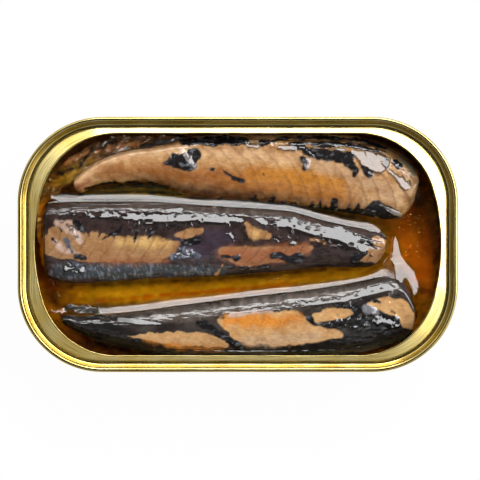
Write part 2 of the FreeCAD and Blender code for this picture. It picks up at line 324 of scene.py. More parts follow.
def makeFloor():
    # a white card: bright to the camera, to gloss and through glass, with a little real shading left
    material, tree = newMaterial("white card")
    path = addNode(tree, "LightPath").outputs
    seen = path["Is Camera Ray"]
    for ray in ("Is Glossy Ray", "Is Transmission Ray"):
        seen = addNode(tree, "Math", {0: seen, 1: path[ray]}, operation="MAXIMUM")
    share = addNode(tree, "Math", {0: seen, 1: card["bright"]}, operation="MULTIPLY")
    shaded = addNode(tree, "BsdfDiffuse", {"Color": toLinear(card["colour"])})
    bright = addNode(tree, "Emission", {"Color": (1, 1, 1, 1), "Strength": 1.0})
    mixed = addNode(tree, "MixShader", {0: share, 1: shaded, 2: bright})
    addNode(tree, "OutputMaterial", {"Surface": mixed})
    turns = [2 * math.pi * i / card["sides"] for i in range(card["sides"])]
    ring = [(card["radius"] * math.cos(turn) * mm, card["radius"] * math.sin(turn) * mm, 0) for turn in turns]
    mesh = bpy.data.meshes.new("floor")
    mesh.from_pydata(ring, [], [tuple(range(len(ring)))])
    mesh.materials.append(material)
    floor = bpy.data.objects.new("floor", mesh)
    bpy.context.scene.collection.objects.link(floor)


makeCamera()
makeSoftboxes()
makeWorld()
makeFloor()
bpy.context.scene.view_settings.view_transform = "Standard"
print("camera, lights and floor made")


# Layers of the seam, as distances in from its outside to the middle of each sheet.
sheet, layerStep = tin["sheet"], tin["sheet"] + tin["layerGap"]
lidLayer = sheet / 2
hookLayer = lidLayer + layerStep * 2
bodyLayer = hookLayer + layerStep
chuckLayer = bodyLayer + layerStep
seamFoot = tin["top"] - tin["seamHeight"] + sheet / 2
hookEnd = tin["top"] - 1.5 * sheet - tin["layerGap"] - sheet / 2 - tin["hookGap"]
grooveLevel = tin["top"] - tin["countersink"] + sheet / 2
grooveStart = chuckLayer + tin["chuckLean"]
ledgeSlope = math.tan(math.radians(tin["ledgeTilt"]))
ledgeStart = grooveStart + tin["ledgeStart"]


def goldLacquer(name, finish):
    # Gold-lacquered aluminium, rolled then pressed: a clear yellow mirror broken up by fine
    # grain that follows the rim, so highlights smear along it and dull streaks show across it.
    material, tree = newMaterial(name)
    place = addNode(tree, "TexCoord").outputs["Object"]
    scaled = addNode(tree, "VectorMath", {0: place, 1: (1 / mm,) * 3}, operation="MULTIPLY")
    core = (tin["halfLength"] - tin["corner"], tin["halfWidth"] - tin["corner"], 0)
    past = addNode(tree, "VectorMath", {0: scaled}, operation="ABSOLUTE")
    for operation, other in (("SUBTRACT", core), ("MAXIMUM", (0, 0, 0)), ("MULTIPLY", (1, 1, 0))):
        past = addNode(tree, "VectorMath", {0: past, 1: other}, operation=operation)
    across = addNode(tree, "VectorMath", {0: past}, operation="LENGTH").outputs["Value"]
    x, y, _ = addNode(tree, "SeparateXYZ", {0: scaled}).outputs
    grainLength, grainWidth = finish["grain"]
    stretched = [addNode(tree, "Math", {0: part, 1: 1 / size}, operation="MULTIPLY")
                 for part, size in ((x, grainLength), (y, grainLength), (across, grainWidth))]
    grainPlace = addNode(tree, "CombineXYZ", dict(enumerate(stretched)))
    grain = addNode(tree, "TexNoise", {"Vector": grainPlace, "Scale": 1.0, "Detail": 4.0, "Roughness": 0.6})
    cloud = addNode(tree, "TexNoise", {"Vector": scaled, "Scale": 1 / finish["cloud"], "Detail": 3.0})
    tone = addNode(tree, "ValToRGB", {"Fac": cloud}, ramp=[(0.3, finish["deep"]), (0.7, finish["pale"])])
    streak = addNode(tree, "ValToRGB", {"Fac": grain}, ramp=[(0.35, finish["streak"]), (0.6, "#ffffff")])
    colour = addNode(tree, "MixRGB", {"Fac": finish["streakShare"], "Color1": tone, "Color2": streak},
                     blend_type="MULTIPLY")
    smooth, dull = finish["roughness"]
    rough = addNode(tree, "MapRange", {"Value": grain, "To Min": smooth, "To Max": dull})
    bump = addNode(tree, "Bump", {"Height": grain, "Strength": finish["bump"], "Distance": 0.02 * mm})
    shader = addNode(tree, "BsdfPrincipled", {
        "Base Color": colour, "Metallic": 1.0, "Roughness": rough, "Normal": bump})
    addNode(tree, "OutputMaterial", {"Surface": shader})
    return material


lacquer = {
    "pale": "#f5e09a",
    "deep": "#eacb72",
    "streak": "#84887c",
    "streakShare": 0.5,
    "grain": (9.0, 0.28),        # rolled grain, drawn coarser than the real 0.05 mm to show
    "cloud": 7.0,
    "roughness": (0.1, 0.24),
    "bump": 0.5,
}
bodyLacquer = dict(lacquer, pale="#e8cf7c", deep="#d3b456", roughness=(0.22, 0.38))


def tinOutline():
    # places round the outside of the seam with their outward directions
    spots = []
    cornerSteps, longSteps, shortSteps = 44, 60, 16
    coreX, coreY = tin["halfLength"] - tin["corner"], tin["halfWidth"] - tin["corner"]
    for sideX, sideY, start, steps in ((1, -1, 270, shortSteps), (1, 1, 0, longSteps),
                                       (-1, 1, 90, shortSteps), (-1, -1, 180, longSteps)):
        for i in range(cornerSteps + 1):
            angle = math.radians(start + 90 * i / cornerSteps)
            nx, ny = math.cos(angle), math.sin(angle)
            spots.append((sideX * coreX + tin["corner"] * nx, sideY * coreY + tin["corner"] * ny, nx, ny))
        lastX, lastY, nx, ny = spots[-1]
        run = 2 * (coreY if steps == shortSteps else coreX)
        for i in range(1, steps):
            spots.append((lastX - ny * run * i / steps, lastY + nx * run * i / steps, nx, ny))
    return np.array(spots).T


def openingDistance(x, y):
    # signed distance outside the torn opening: straight sides, bowed ends, round corners
    halfLength = tin["halfLength"] - grooveStart - tin["ledgeWidth"]
    halfWidth = tin["halfWidth"] - grooveStart - tin["ledgeWidth"]
    corner, endRadius = tin["openingCorner"], tin["openingEnd"]
    endCentre = halfLength - endRadius
    cornerY = halfWidth - corner
    cornerX = endCentre + math.sqrt((endRadius - corner) ** 2 - cornerY ** 2)
    spread = math.atan2(cornerY, cornerX - endCentre)
    ax, ay = np.abs(x), np.abs(y)
    angle = np.arctan2(ay - cornerY, ax - cornerX)
    return np.where(ax < cornerX, ay - halfWidth,
                    np.where(angle > spread, np.hypot(ax - cornerX, ay - cornerY) - corner,
                             np.hypot(ax - endCentre, ay) - endRadius))


def bentLine(corners, radii, stepAngle=math.radians(7)):
    # straight runs from corner to corner, with an arc of the given radius at each bend
    line = [np.array(corners[0], float)]
    for before, here, after, radius in zip(corners, corners[1:], corners[2:], radii):
        before, here, after = (np.array(p, float) for p in (before, here, after))
        a = (here - before) / np.linalg.norm(here - before)
        b = (after - here) / np.linalg.norm(after - here)
        turn = math.atan2(a[0] * b[1] - a[1] * b[0], a @ b)
        setback = radius * math.tan(abs(turn) / 2)
        side = np.array([-a[1], a[0]]) * math.copysign(radius, turn)
        centre = here - a * setback + side
        steps = max(2, math.ceil(abs(turn) / stepAngle))
        for i in range(steps + 1):
            c, s = math.cos(turn * i / steps), math.sin(turn * i / steps)
            line.append(centre + np.array([s * side[1] - c * side[0], -s * side[0] - c * side[1]]))
    line.append(np.array(corners[-1], float))
    return np.array(line)


def makeLidRing():
    # the hook in the seam, the countersunk groove and the ledge left by the torn-out panel
    fold = tin["rollFullness"] * (hookLayer - lidLayer) / 2
    roll = tin["rollFullness"] * (chuckLayer - lidLayer) / 2
    lidTop = tin["top"] - sheet / 2
    centre = bentLine(
        [(hookLayer, hookEnd), (hookLayer, seamFoot), (lidLayer, seamFoot), (lidLayer, lidTop),
         (chuckLayer, lidTop), (grooveStart, grooveLevel),
         (ledgeStart, grooveLevel + (ledgeStart - grooveStart) * ledgeSlope)],
        [fold, fold, roll, roll, tin["grooveRadius"]])
    x, y, nx, ny = tinOutline()
    # how far in the opening lies, found by halving thirty times
    low, high = np.full(x.shape, ledgeStart), np.full(x.shape, 9.0)
    for _ in range(30):
        middle = (low + high) / 2
        outside = openingDistance(x - nx * middle, y - ny * middle) > 0
        low, high = np.where(outside, middle, low), np.where(outside, high, middle)
    lip = low + tin["tearUneven"] * softNoise(np.arange(len(x)) * 1.0, x * 0, 3.0, 5) - tin["lipShort"]
    along = np.gradient(centre, axis=0)
    along /= np.linalg.norm(along, axis=1)[:, None]
    sideways = np.stack([-along[:, 1], along[:, 0]], axis=1) * sheet / 2
    ledgeSteps = 14
    share = np.linspace(0, 1, ledgeSteps + 1)[1:]
    rings = []
    for side in (1, -1):
        body = [(inset * np.ones(x.shape), z * np.ones(x.shape)) for inset, z in centre + side * sideways]
        start, level = (centre + side * sideways)[-1]
        ledge = [(start + (lip - start) * w, level + (lip - start) * w * ledgeSlope) for w in share]
        rings.append(body + ledge)
    top, under = rings[0][-1], rings[1][-1]
    # the burr left by tearing turns down a little, and catches the light on the far side
    (bendIn, bendDown), (endIn, endUp) = tin["burr"]
    burr = [(top[0] + bendIn, top[1] - bendDown), (top[0] + endIn, under[1] + endUp)]
    loop = rings[0] + burr + rings[1][::-1]
    inset = np.array([ring[0] for ring in loop])
    z = np.array([ring[1] for ring in loop])
    points = np.stack([x - nx * inset, y - ny * inset, z], axis=-1).reshape(-1, 3)
    faces = gridFaces(len(loop), len(x), closedRows=True, closedColumns=True)
    return meshPiece("lidRing", points, faces, goldLacquer("gold-lacquered aluminium", lacquer), wet=False)


lidRing = makeLidRing()
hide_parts("lid_ring")
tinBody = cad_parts["tin_body"]
tinBody.data.materials.clear()
tinBody.data.materials.append(goldLacquer("gold-lacquered drawn aluminium", bodyLacquer))
print("tin made")


oilLevel = (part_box("oil")[1] / mm).z
fishTop = max(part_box(node)[1].z for node in ("fillet_back", "fillet_middle", "fillet_front")) / mm
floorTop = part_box("fillet_middle")[0].z / mm

flesh = {
    "rowCount": 400,
    "topCount": 150,
    "underCount": 22,
    "crownPower": 2.2,           # 2 is round, more is boxier
    "bellyPower": 3.6,
    "spread": 0.45,              # how far the flank swells past the line where the oil meets it
    "endDrop": 8.0,              # how far the top falls as an end closes
    "tipWidth": 0.02,            # share of the width left at the very ends
    "headroom": 0.15,            # kept below the top of the solid fillets, for lumps and films
    "swell": (0.16, 7.0),        # height and size of soft unevenness, of ripples and of skin folds
    "ripple": (0.05, 1.2),
    "skinFold": (0.11, 1.2),
    "notchPlace": ((-14.8, -16.0), (-0.5, 1.0)),     # where the notches fade in, along x and y
    "filmEdge": 0.08,            # softness of the outline of a wet film
    "holeEdge": 0.05,            # and of the holes in it
    # seams between flakes, with painted shade across each flake; bars on the back; silvery flecks with
    # painted glints; and wet films, which mirror the lamps
    "tints": (("seam", "#7c4a22", "MIX"), ("stripe", "#8d857f", "MIX"), ("glint", "#a3abb8", "MIX"),
              ("film", "#8b8583", "MULTIPLY")),
}

backFillet = {
    "node": "fillet_back",
    # x, front edge, back edge, crest, top
    "stations": [
        (-39.7, 13.4, 15.4, 14.6, 17), (-37.6, 12.6, 17.2, 15.8, 17.3), (-35.4, 14, 18.9, 17.6, 17.5),
        (-32, 14.8, 20.6, 19.4, 17.7), (-27, 15.1, 22.2, 21, 17.9), (-21, 15.2, 23.2, 21.8, 18.2),
        (-17.6, 14.3, 24.2, 22.2, 18.4), (-14, 12.5, 25.2, 22.8, 18.6), (-8, 11.3, 26, 23.2, 18.8),
        (4, 10.7, 26.2, 23.4, 19), (16.4, 9.3, 26.2, 23.2, 18.9), (29.5, 7.5, 25.4, 21.6, 18.5),
        (36, 6.5, 23.4, 18.6, 18.2), (39.8, 7.2, 21.4, 16.6, 18.2), (42.2, 10.2, 19, 15.4, 18.1),
        (43.7, 14, 17.2, 15.4, 18)],
    "roundTail": 1.2,
    "roundHead": 1.0,
    "base": ("#cf9f69", "#e8bd88"),
    "bare": 1.0,                 # bare flesh between the layers, or 0 for skin
    "pitch": 3.6,                # from flake to flake
    "slant": 0.7,                # how far their seams lean
    "shoulder": 5.6,             # from the crest down to where the fillet is widest
    "seamDepth": 0.03,
    # the seam tint also carries the painted shade across each flake
    "seamShare": 0.5,            # how strongly the seams are tinted
    "seamFrom": 0,               # the seams reach their full depth at minus this x
    "notch": 0.0,                # how far the edge of the flesh steps back at each flake
    "climb": (0.1, 0.8, 0.2, 0.7),   # how high the oil climbs in front, behind, at the tail and head
    "tailFade": (7.0, 15.0),     # over which distances from that end its own climb takes over
    "headFade": (-1.0, 0.6),
    "stripes": 0.1,
    "seed": 11,
    # each layer: name, colour, softness of its edge, its unevenness, relief, paths of x, y, radius
    "layers": [
        ("warm", "#b87432", 2.4, 1.2, 0, [
            [(-33, 17, 0.8), (-24, 18.4, 1.4), (-14, 16.4, 2.4), (6, 14.4, 3), (18, 12.6, 2.6),
             (27, 10.8, 1.4)]]),
        ("orange", "#d8923a", 1.6, 1, 0, [[(3, 16.4, 1.6), (12, 15.8, 2.6), (24, 13.8, 2.4)]]),
        # painted shade: the lower flank, which faces away from the lamps, is darkened in its colour
        ("brown", "#4c2b0c", 1.8, 0.9, 0, [
            [(-24, 15, 0.5), (-16, 13.4, 1.4), (-8, 12, 1.9), (6, 10.8, 1.4), (18, 9.4, 0.8),
             (30, 8, 0.6)]]),
        # painted light: a pale line along the upper edge of the tail and the crest, where the lamps catch it;
        # the second path is pale flesh at the head end
        ("pale", "#eec496", 1.4, 0.7, 0, [
            [(-38.4, 15, 0.5), (-33, 19.6, 0.6), (-25, 21.8, 0.8), (-15, 22.4, 0.8), (0, 21.6, 1),
             (20, 20, 0.6)], [(37, 11.6, 1.4), (40.4, 14, 1.6), (39.6, 17.6, 1.2)]]),
        ("tan", "#d6ae84", 1, 0.8, 0, [[(14, 20.4, 0.6), (22, 18.6, 1.6), (30, 15.6, 1.8), (36, 13, 1.6)]]),
        ("tip", "#a85a38", 1.2, 0.4, 0, [[(-38.8, 13.4, 0.6), (-36, 14.8, 0.6)]]),
        # painted shade: a dark band along the underside of the tail's front edge
        ("under", "#1d1a12", 0.25, 0.5, 0, [
            [(-36.4, 13.4, 0.5), (-32, 14.5, 0.45), (-25, 14.7, 0.45), (-19.4, 14.6, 0.4)]]),
        ("skin", "#191415", 0.16, 0.5, 0.06, [
            [(-17, 19.4, 0.5), (-14.8, 20, 1.9), (-11.6, 19.8, 2.1), (-10.4, 21.6, 1.5)],
            [(-13, 24.6, 0.9), (-6, 24.6, 1.3), (-2, 25, 1), (1.8, 24.6, 1)],
            [(-3.4, 17.6, 0.22), (-1.2, 16.2, 0.5), (1.2, 15.2, 0.4)], [(-6.3, 18, 0.28), (-5.9, 18, 0.24)],
            [(6.2, 17, 0.16), (7, 15.8, 0.16)],
            [(5.8, 24.2, 0.7), (8.2, 24.3, 0.4), (10, 25.4, 0.4), (20, 25.5, 0.5), (30, 25, 0.6),
             (35.5, 23, 0.6)], [(12.6, 24.2, 0.4), (20, 24, 0.6), (27, 23.8, 0.7), (33.4, 22.4, 0.5)],
            [(13.6, 23.6, 0.7), (18.4, 21.8, 1.2), (22, 21.2, 1.4), (26.4, 21, 1.5)],
            [(15.6, 20.3, 0.6), (16.6, 19.6, 0.7), (16.2, 18.3, 0.6)],
            [(26.6, 19.6, 1.2), (28.2, 17.8, 1), (28, 16.4, 0.4)], [(29.8, 18.6, 0.5), (31.4, 16.8, 1)],
            [(35.4, 20.2, 0.7), (35.6, 18.8, 0.8)], [(37.6, 19.8, 0.7), (38.6, 18.8, 0.7)],
            *([(x, y, 0.9), (x + 0.4, y + rise, 0.15)] for x, y, rise in [(-12.6, 11, 0.6),
                (-4.2, 10.7, 0.5), (4, 10.6, 1.4), (8.2, 10.2, 1.2), (11.2, 9.8, 1.1), (13.4, 9.4, 0.8),
                (17.6, 8.8, 1.5), (19.6, 8.6, 2.6), (21, 8.4, 1.6), (26.6, 8, 2.2), (28.6, 7.8, 2),
                (30.4, 7.4, 1)]), [(22.9, 8.4, 0.8), (23.3, 10.5, 0.95)],
            [(13, 8.2, 0.9), (22, 7.6, 0.9), (30, 6.8, 1.4), (33.4, 8.6, 1.9), (36.6, 7.4, 1.6),
             (39.4, 6.6, 0.6)]]),
        # painted highlights: pale patches on the lumps and the lower right skin, partly the skin's own silver
        ("silver", "#b9b6b8", 0.12, 0.5, 0.06, [
            [(-12.4, 21.4, 0.5), (-11.4, 20.2, 0.6), (-10.2, 19, 0.4)],
            [(34.2, 9.6, 0.25), (37, 8.2, 0.35), (39.2, 7, 0.25)], [(16, 18.9, 0.35), (16.4, 18.6, 0.3)]]),
        ("jelly", "#b7a988", 0.3, 0.5, 0.1, [[(39.6, 20.4, 1), (41.4, 18.6, 1), (41.8, 16.8, 0.6)]]),
    ],
    # smooth wet films: which way they face, how steeply, how uneven the edge, how holed, where
    "films": [
        (78, 0.37, 0.15, 0, [[(28.2, 21.8, 0.8), (31, 20.4, 2.1), (33.4, 19.7, 2.7), (34.8, 19.5, 1.6)]]),
        (85, 0.38, 0.35, 0, [[(9.8, 23.2, 0.6), (13.6, 23, 0.7)], [(24, 22.6, 0.45), (25.6, 22.6, 0.35)]]),
        (75, 0.38, 0.35, 0, [[(16.2, 22.9, 0.4), (18, 21.5, 0.5)], [(2.8, 24, 0.7), (4.6, 23.4, 0.7)]]),
        (40, 0.38, 0.4, 0.15, [[(35.8, 18, 0.3), (38, 16.2, 0.6), (40.2, 14.2, 1.2)]]),
        (86, 0.4, 0.1, 0, [
            [(2.2, 25.1, 0.16), (15, 24.8, 0.2), (26, 24.7, 0.28), (31.9, 23.7, 0.25), (35.4, 22.2, 0.2)]]),
        (86, 0.4, 0.1, 0, [[(13, 23.4, 0.12), (19, 23.1, 0.2), (24, 22.8, 0.12)]]),
        (60, 0.38, 0.5, 0.4, [[(-12.2, 21.4, 0.5), (-11.4, 20.4, 0.6), (-10.4, 19.2, 0.4)]]),
        (80, 0.38, 0.3, 0.3, [[(34.2, 9.9, 0.15), (39.2, 7.6, 0.2)], [(34.8, 9, 0.12), (38.2, 7, 0.15)]]),
        (80, 0.38, 0.5, 0.55, [[(-10.6, 24.9, 0.3), (-6, 24.7, 0.6), (-1.6, 24.6, 0.8), (1.6, 24.4, 0.6)]]),
    ],
    # lumps of loose skin: x, y, size, height
    "lumps": [
        (-13.2, 20.2, 2.2, 1), (1.6, 24, 1, 0.4), (31, 17.4, 1, 0.4), (36.6, 19.6, 1.6, -0.4),
        (39.2, 17.6, 1.8, 0.5), (16.4, 19.4, 1.2, 0.35), (7.4, 24.2, 0.9, 0.5)],
}

middleFillet = {
    "node": "fillet_middle",
    "stations": [
        (-46.8, -7.4, 9.5, 6.9, 18.2), (-39, -8.8, 9.8, 7.2, 18.8), (-30, -8.4, 9.9, 7.3, 19),
        (-20, -7.7, 9.8, 7.2, 19), (-8, -7.3, 8.9, 6.3, 19), (6, -6.4, 8.1, 5.5, 19),
        (13, -5.8, 7.4, 4.8, 19), (21, -5, 5.2, 2.6, 18.9), (29, -5, 3.5, 0.9, 18.8),
        (33, -4.4, 2.8, 0.2, 18.6), (36.2, -0.9, 2.2, -0.2, 18.3)],
    "roundTail": 1.4,
    "roundHead": 2.4,
    "base": ("#2e2221", "#4a3a37"),
    "bare": 0.0,
    "pitch": 3.3,
    "slant": -0.45,
    "shoulder": 4.2,
    "seamDepth": 0.14,
    "seamShare": 0.5,
    "seamFrom": 50,
    "notch": 0.8,
    "climb": (0.5, 1.15, 0.5, 0.05),
    "tailFade": (-1.6, -0.6),
    "headFade": (-6.0, -0.5),
    "stripes": 0.3,
    "seed": 31,
    "layers": [
        ("blue", "#474e54", 0.9, 0.6, 0, [
            [(-43, -6.4, 1.6), (-30, -6.6, 1.9), (-20, -6.2, 1.5), (-3, -6.2, 0.7)]]),
        ("violet", "#443745", 1.2, 0.8, 0, [[(-13, -0.6, 3), (-6, 0.4, 3.2), (-2, 1.8, 1.6)]]),
        ("brownish", "#4a403c", 0.5, 0.7, 0, [[(-42, 9, 0.7), (-20, 9, 0.8), (0, 7.6, 0.9), (14, 7, 0.8)]]),
        ("meat", "#be9264", 0.13, 0.45, -0.05, [
            [(-43.6, 0.4, 3.6), (-40, -0.2, 3.4), (-34, -0.7, 3.3), (-27, -1, 3.1), (-20, -1.2, 3.1),
             (-16.4, -0.9, 1.9), (-14.4, 0.2, 0.6)], [(-37, 2.6, 0.8), (-32.2, 2.2, 0.8)],
            [(-14.7, 2.2, 0.35), (-12, 2.5, 1.1), (-8.8, 3.3, 0.8)],
            [(2.1, 5, 0.3), (3.6, 2.7, 1.4), (7.4, 2, 0.7)],
            [(-3, -1.9, 1.4), (2, -3, 2.4), (8, -2.6, 2), (14, -1.6, 1.2), (17.6, -0.8, 0.6)],
            [(-3.5, -5, 0.4), (-5.2, -7.6, 0.25)], [(17.7, 1.2, 0.4), (20.8, 0.6, 0.4)],
            [(29.6, -3, 0.8), (32.6, -2.4, 2), (35, -0.4, 1.6), (33.4, 1.2, 1)]]),
        ("light", "#e8be7a", 1, 0.7, 0, [
            [(-28, 0.6, 0.8), (-21, 0.4, 1.4), (-17, 0.2, 1)], [(3.2, 3.4, 0.6), (4.4, 2.4, 0.8)]]),
        ("pink", "#b07048", 1.3, 0.8, 0, [
            [(-36, -3.6, 0.4), (-26, -4, 0.5), (-17, -3.8, 0.4)],
            [(-3, -2.2, 1.6), (3, -2.8, 2.2), (9, -2.4, 2), (16, -1.2, 1.2)]]),
        # painted highlight: pinkish white patches at the tail end, over a wet film that mirrors the lamps
        # there too
        ("pale", "#e6cbbb", 0.4, 0.7, 0, [
            [(-43, 5, 0.5), (-40.6, 4.4, 1.3), (-38.8, 3.2, 1.5), (-37.8, 0.8, 0.8)],
            [(-44, 0.8, 0.5), (-41.4, -1.4, 0.9), (-38, -2, 0.4)]]),
        ("skin", "#171216", 0.13, 0.45, 0.05, [
            [(-28.2, 3.4, 0.7), (-32.4, 1.2, 0.12)], [(-24, 3, 0.7), (-24.7, 0.5, 0.12)],
            [(-20.6, 3, 0.6), (-21.4, 1.4, 0.1)], [(-38.4, 5, 1), (-37.2, 3.6, 0.9)],
            [(-44.2, 1.2, 0.5), (-43.6, 0.6, 0.2)], [(-38.6, -2.9, 0.6), (-36.4, -3.2, 0.6)],
            [(-3.6, -2.9, 0.45), (-1.4, -3, 0.4), (-0.4, -3.5, 0.85), (0.2, -3.2, 0.6)],
            [(8.2, -2.8, 0.7), (10.2, -2.4, 0.7), (12, -3.6, 0.9), (14.4, -3.2, 1.4)],
            [(-2, -5.5, 0.25), (3, -5.6, 0.3), (7.2, -5.3, 0.4)], [(-12.4, 0.5, 0.9), (-9.4, 0.8, 0.9)],
            [(28, -3.6, 1.2), (30.4, -2, 0.7)]]),
        ("flap", "#5f6577", 0.2, 0.8, 0.1, [
            [(-15.6, -3, 0.7), (-12.6, -1.8, 1), (-9.4, -2.8, 0.4)], [(-41, 1, 0.4), (-39.6, -1.6, 0.4)],
            [(-40.2, -4.4, 0.7), (-36, -5.8, 0.6)]]),
    ],
    "films": [
        (88, 0.36, 0.7, 0.6, [[(-44.6, 7.4, 0.3), (-36, 6.9, 0.6), (-31, 6.8, 0.9), (-24.6, 6.4, 1.2)]]),
        (88, 0.36, 0.6, 0.45, [
            [(-24.6, 6.2, 1.3), (-17, 6, 1.4), (-9.9, 6.2, 1.3), (-3, 5.8, 1.3), (1, 5.6, 0.6)]]),
        (86, 0.38, 0.08, 0, [[(-41, 9.5, 0.08), (-28, 9.6, 0.12), (-15, 9.7, 0.1)]]),
        (85, 0.38, 0.4, 0, [[(-17, 8.2, 0.3), (-13.6, 8.3, 0.7)]]),
        (75, 0.36, 0.9, 0.42, [
            [(3.8, 6.2, 0.4), (7, 5.1, 0.9), (12.5, 5, 1.5), (19, 3.2, 1.7), (24.2, 1.8, 2.3),
             (28.5, 0.4, 2.1), (32.2, -1.6, 0.8)]]),
        (60, 0.38, 0.2, 0, [[(29, 1.6, 0.3), (34.6, 0.4, 0.15)], [(30.6, 0.4, 0.3), (34.4, -1, 0.15)]]),
        (60, 0.38, 0.8, 0.5, [[(-41.8, 5.2, 0.4), (-39.6, 4.2, 0.8), (-38.4, 2, 0.4)]]),
        (50, 0.4, 0.9, 0.9, [[(-28, 4.2, 0.5), (-20, 3.9, 0.6), (-14, 4.2, 0.5)]]),
        (50, 0.4, 0.9, 0.7, [
            [(-41, -5.2, 0.9), (-37.4, -5.8, 0.7)], [(-14.6, -2.6, 0.7), (-10.6, -2.4, 0.5)]]),
        (50, 0.4, 0.9, 0.75, [
            [(-2, 2.6, 0.8), (-0.4, 0.8, 0.6)], [(9, 1.4, 0.7), (13.6, 1, 0.7)],
            [(0, -5.4, 0.2), (7, -5.1, 0.3)]]),
    ],
    "lumps": [(-41, 3.6, 2, 0.3), (-12.8, -2.4, 2.2, 0.5), (25.4, 2.8, 1, 0.35), (31.2, -2.6, 1.2, -0.2)],
}

frontFillet = {
    "node": "fillet_front",
    "stations": [
        (-43, -18.4, -16.9, -17.6, 17.4), (-38, -21, -17.3, -18.8, 18.2), (-34, -22.6, -17.2, -19.2, 18.6),
        (-26, -24.6, -16.6, -19.4, 18.9), (-20, -26, -15.9, -19, 19), (-14.4, -26.4, -15.1, -18.4, 19),
        (-8, -26.6, -14.3, -17.6, 19), (6, -26.9, -12.6, -15.9, 19.1), (18, -26.7, -11.2, -14.5, 19.1),
        (30, -25.6, -9.2, -12.4, 19.1), (34, -24.6, -8.3, -11.3, 19), (38.6, -23.2, -8.5, -11.3, 18.9),
        (41, -22, -11.2, -13.6, 18.8), (42.9, -20, -15, -17, 18.6)],
    "roundTail": 2.6,
    "roundHead": 1.6,
    "base": ("#2d2826", "#4a423e"),
    "bare": 0.0,
    "pitch": 3.4,
    "slant": -0.5,
    "shoulder": 4.2,
    "seamDepth": 0.02,
    "seamShare": 0.12,
    "seamFrom": 50,
    "notch": 0.0,
    "climb": (0.3, 1.15, 0.1, 0.06),
    "tailFade": (8.7, 9.7),
    "headFade": (-8.0, -3.0),
    "stripes": 0.45,
    "seed": 57,
    "layers": [
        ("dark", "#1f1b1a", 0.8, 0.8, 0, [
            [(-44, -18, 3), (-34, -20, 3), (-26, -23, 2.4), (-14, -25.6, 1.2)],
            [(10, -26, 1.2), (26, -23.6, 2.6), (36, -21, 3.2), (40, -20.6, 1.4)]]),
        ("greyish", "#655c56", 1, 0.7, 0, [
            [(-24, -18, 0.8), (-10, -16.8, 1.4), (4, -14.6, 1.4), (20, -13, 1.6), (36, -10.6, 1.6)]]),
        ("meat", "#e2b47c", 0.13, 0.45, -0.05, [
            [(-26.2, -21.9, 0.1), (-22, -22.1, 0.8), (-15, -22.6, 1.75), (-7, -22.9, 1.7),
             (-3, -23.7, 0.9)],
            [(-3.2, -18.3, 1.5), (1, -19.8, 3.4), (8, -20.2, 4), (13, -20, 4.1), (18.4, -20.8, 2.6),
             (24.6, -21.5, 0.7)], [(18.8, -17.6, 1.1), (22.6, -16.6, 1.5), (27.6, -16.3, 1)],
            [(31.4, -14.4, 0.7), (35, -14.2, 1.7), (39.2, -15.4, 2.2), (41, -18.4, 2)],
            [(-40.8, -14.6, 0.8), (-40, -15.4, 0.5)]]),
        ("orange", "#ee9a3e", 1.3, 1, 0, [
            [(-2.6, -18.2, 1), (3, -18.2, 1.7), (9, -18.6, 1.5), (14, -17.6, 0.8)],
            [(-22, -23, 0.05), (-14, -24.6, 0.1), (-4, -25.4, 0.1)]]),
        ("pale", "#deba90", 0.8, 0.8, 0, [[(2, -23.2, 1), (10, -23, 1.4), (19, -21.8, 1)]]),
        ("skin", "#151214", 0.13, 0.45, 0.05, [
            [(-9.6, -18.6, 0.5), (-7.6, -19.4, 0.95), (-5, -20.9, 0.85), (-2, -23, 0.85), (0.6, -24.9, 1)],
            [(17, -17.4, 0.6), (18.2, -19, 0.4), (21.4, -19.2, 0.8), (25.4, -18.8, 1), (28.6, -18.2, 1.8),
             (33, -19, 2.2), (37.2, -18.4, 1.8)], [(24, -14.4, 0.5), (27.8, -14.8, 0.8), (29.4, -16.6, 1)],
            [(33, -13.4, 0.5), (34, -13.9, 0.35)]]),
        ("flap", "#7d7d86", 0.25, 0.7, 0.08, [[(30.6, -15.4, 0.9), (33, -16.3, 1)]]),
        # painted highlight: a pinkish white rim along the top of the flesh
        ("fringeHighlight", "#e6cabb", 0.2, 0.5, 0.1, [[(-1.6, -17, 0.45), (3.6, -16.3, 0.5), (8.4, -16, 0.4)]]),
    ],
    "films": [
        (95, 0.38, 0.7, 0.5, [[(1.4, -16, 0.3), (9, -15.2, 0.6), (19.4, -14.2, 0.8), (25.5, -13.4, 1)]]),
        (88, 0.37, 0.6, 0.25, [
            [(25.5, -13.4, 1), (31.4, -11.8, 1.7), (36, -10.6, 1.2)],
            [(30.6, -12.6, 1), (27.8, -15, 0.8)]]),
        (85, 0.38, 0.15, 0, [
            [(-33.8, -17, 0.1), (-28.5, -17.9, 0.5), (-23.5, -18.5, 0.75), (-18.4, -19, 0.4)]]),
        (60, 0.38, 0.4, 0.3, [
            [(37, -11.7, 0.25), (40, -13, 0.3)], [(-8.6, -17.4, 0.25), (-7.8, -18.2, 0.3)],
            [(-5.4, -17.3, 0.3), (-3.6, -17.5, 0.3)], [(36.8, -16, 0.3), (37.6, -16.4, 0.25)]]),
        (88, 0.4, 0.1, 0, [
            [(22.7, -25, 0.12), (30, -24, 0.12), (37, -22.4, 0.15)],
            [(-16, -25.2, 0.1), (-4, -25.5, 0.22), (14, -25.5, 0.22), (24, -25.2, 0.2),
             (34, -23.7, 0.16)]]),
        (50, 0.4, 0.9, 0.75, [[(22, -19.4, 0.6), (28, -18.4, 1.2), (33, -17.6, 1.2), (38, -19, 1)]]),
    ],
    "lumps": [
        (-5, -21, 1.2, 0.3), (24, -18.6, 1.4, 0.4), (29.5, -17.4, 1.8, 0.5), (31.6, -15.8, 1.2, 0.4),
        (37, -18.2, 1.6, 0.3)],
}


def layerMasks(x, y, layers, seed, notch=0):
    masks = {}
    for k, (label, _, soft, ragged, _, paths) in enumerate(layers):
        gap = pathDistance(x, y, paths) + ragged * roughNoise(x, y, 1.4, seed + 7 * k)
        if label == "meat":
            gap = gap + notch
        masks[label] = smoothStep(soft, -soft, gap)
    return masks


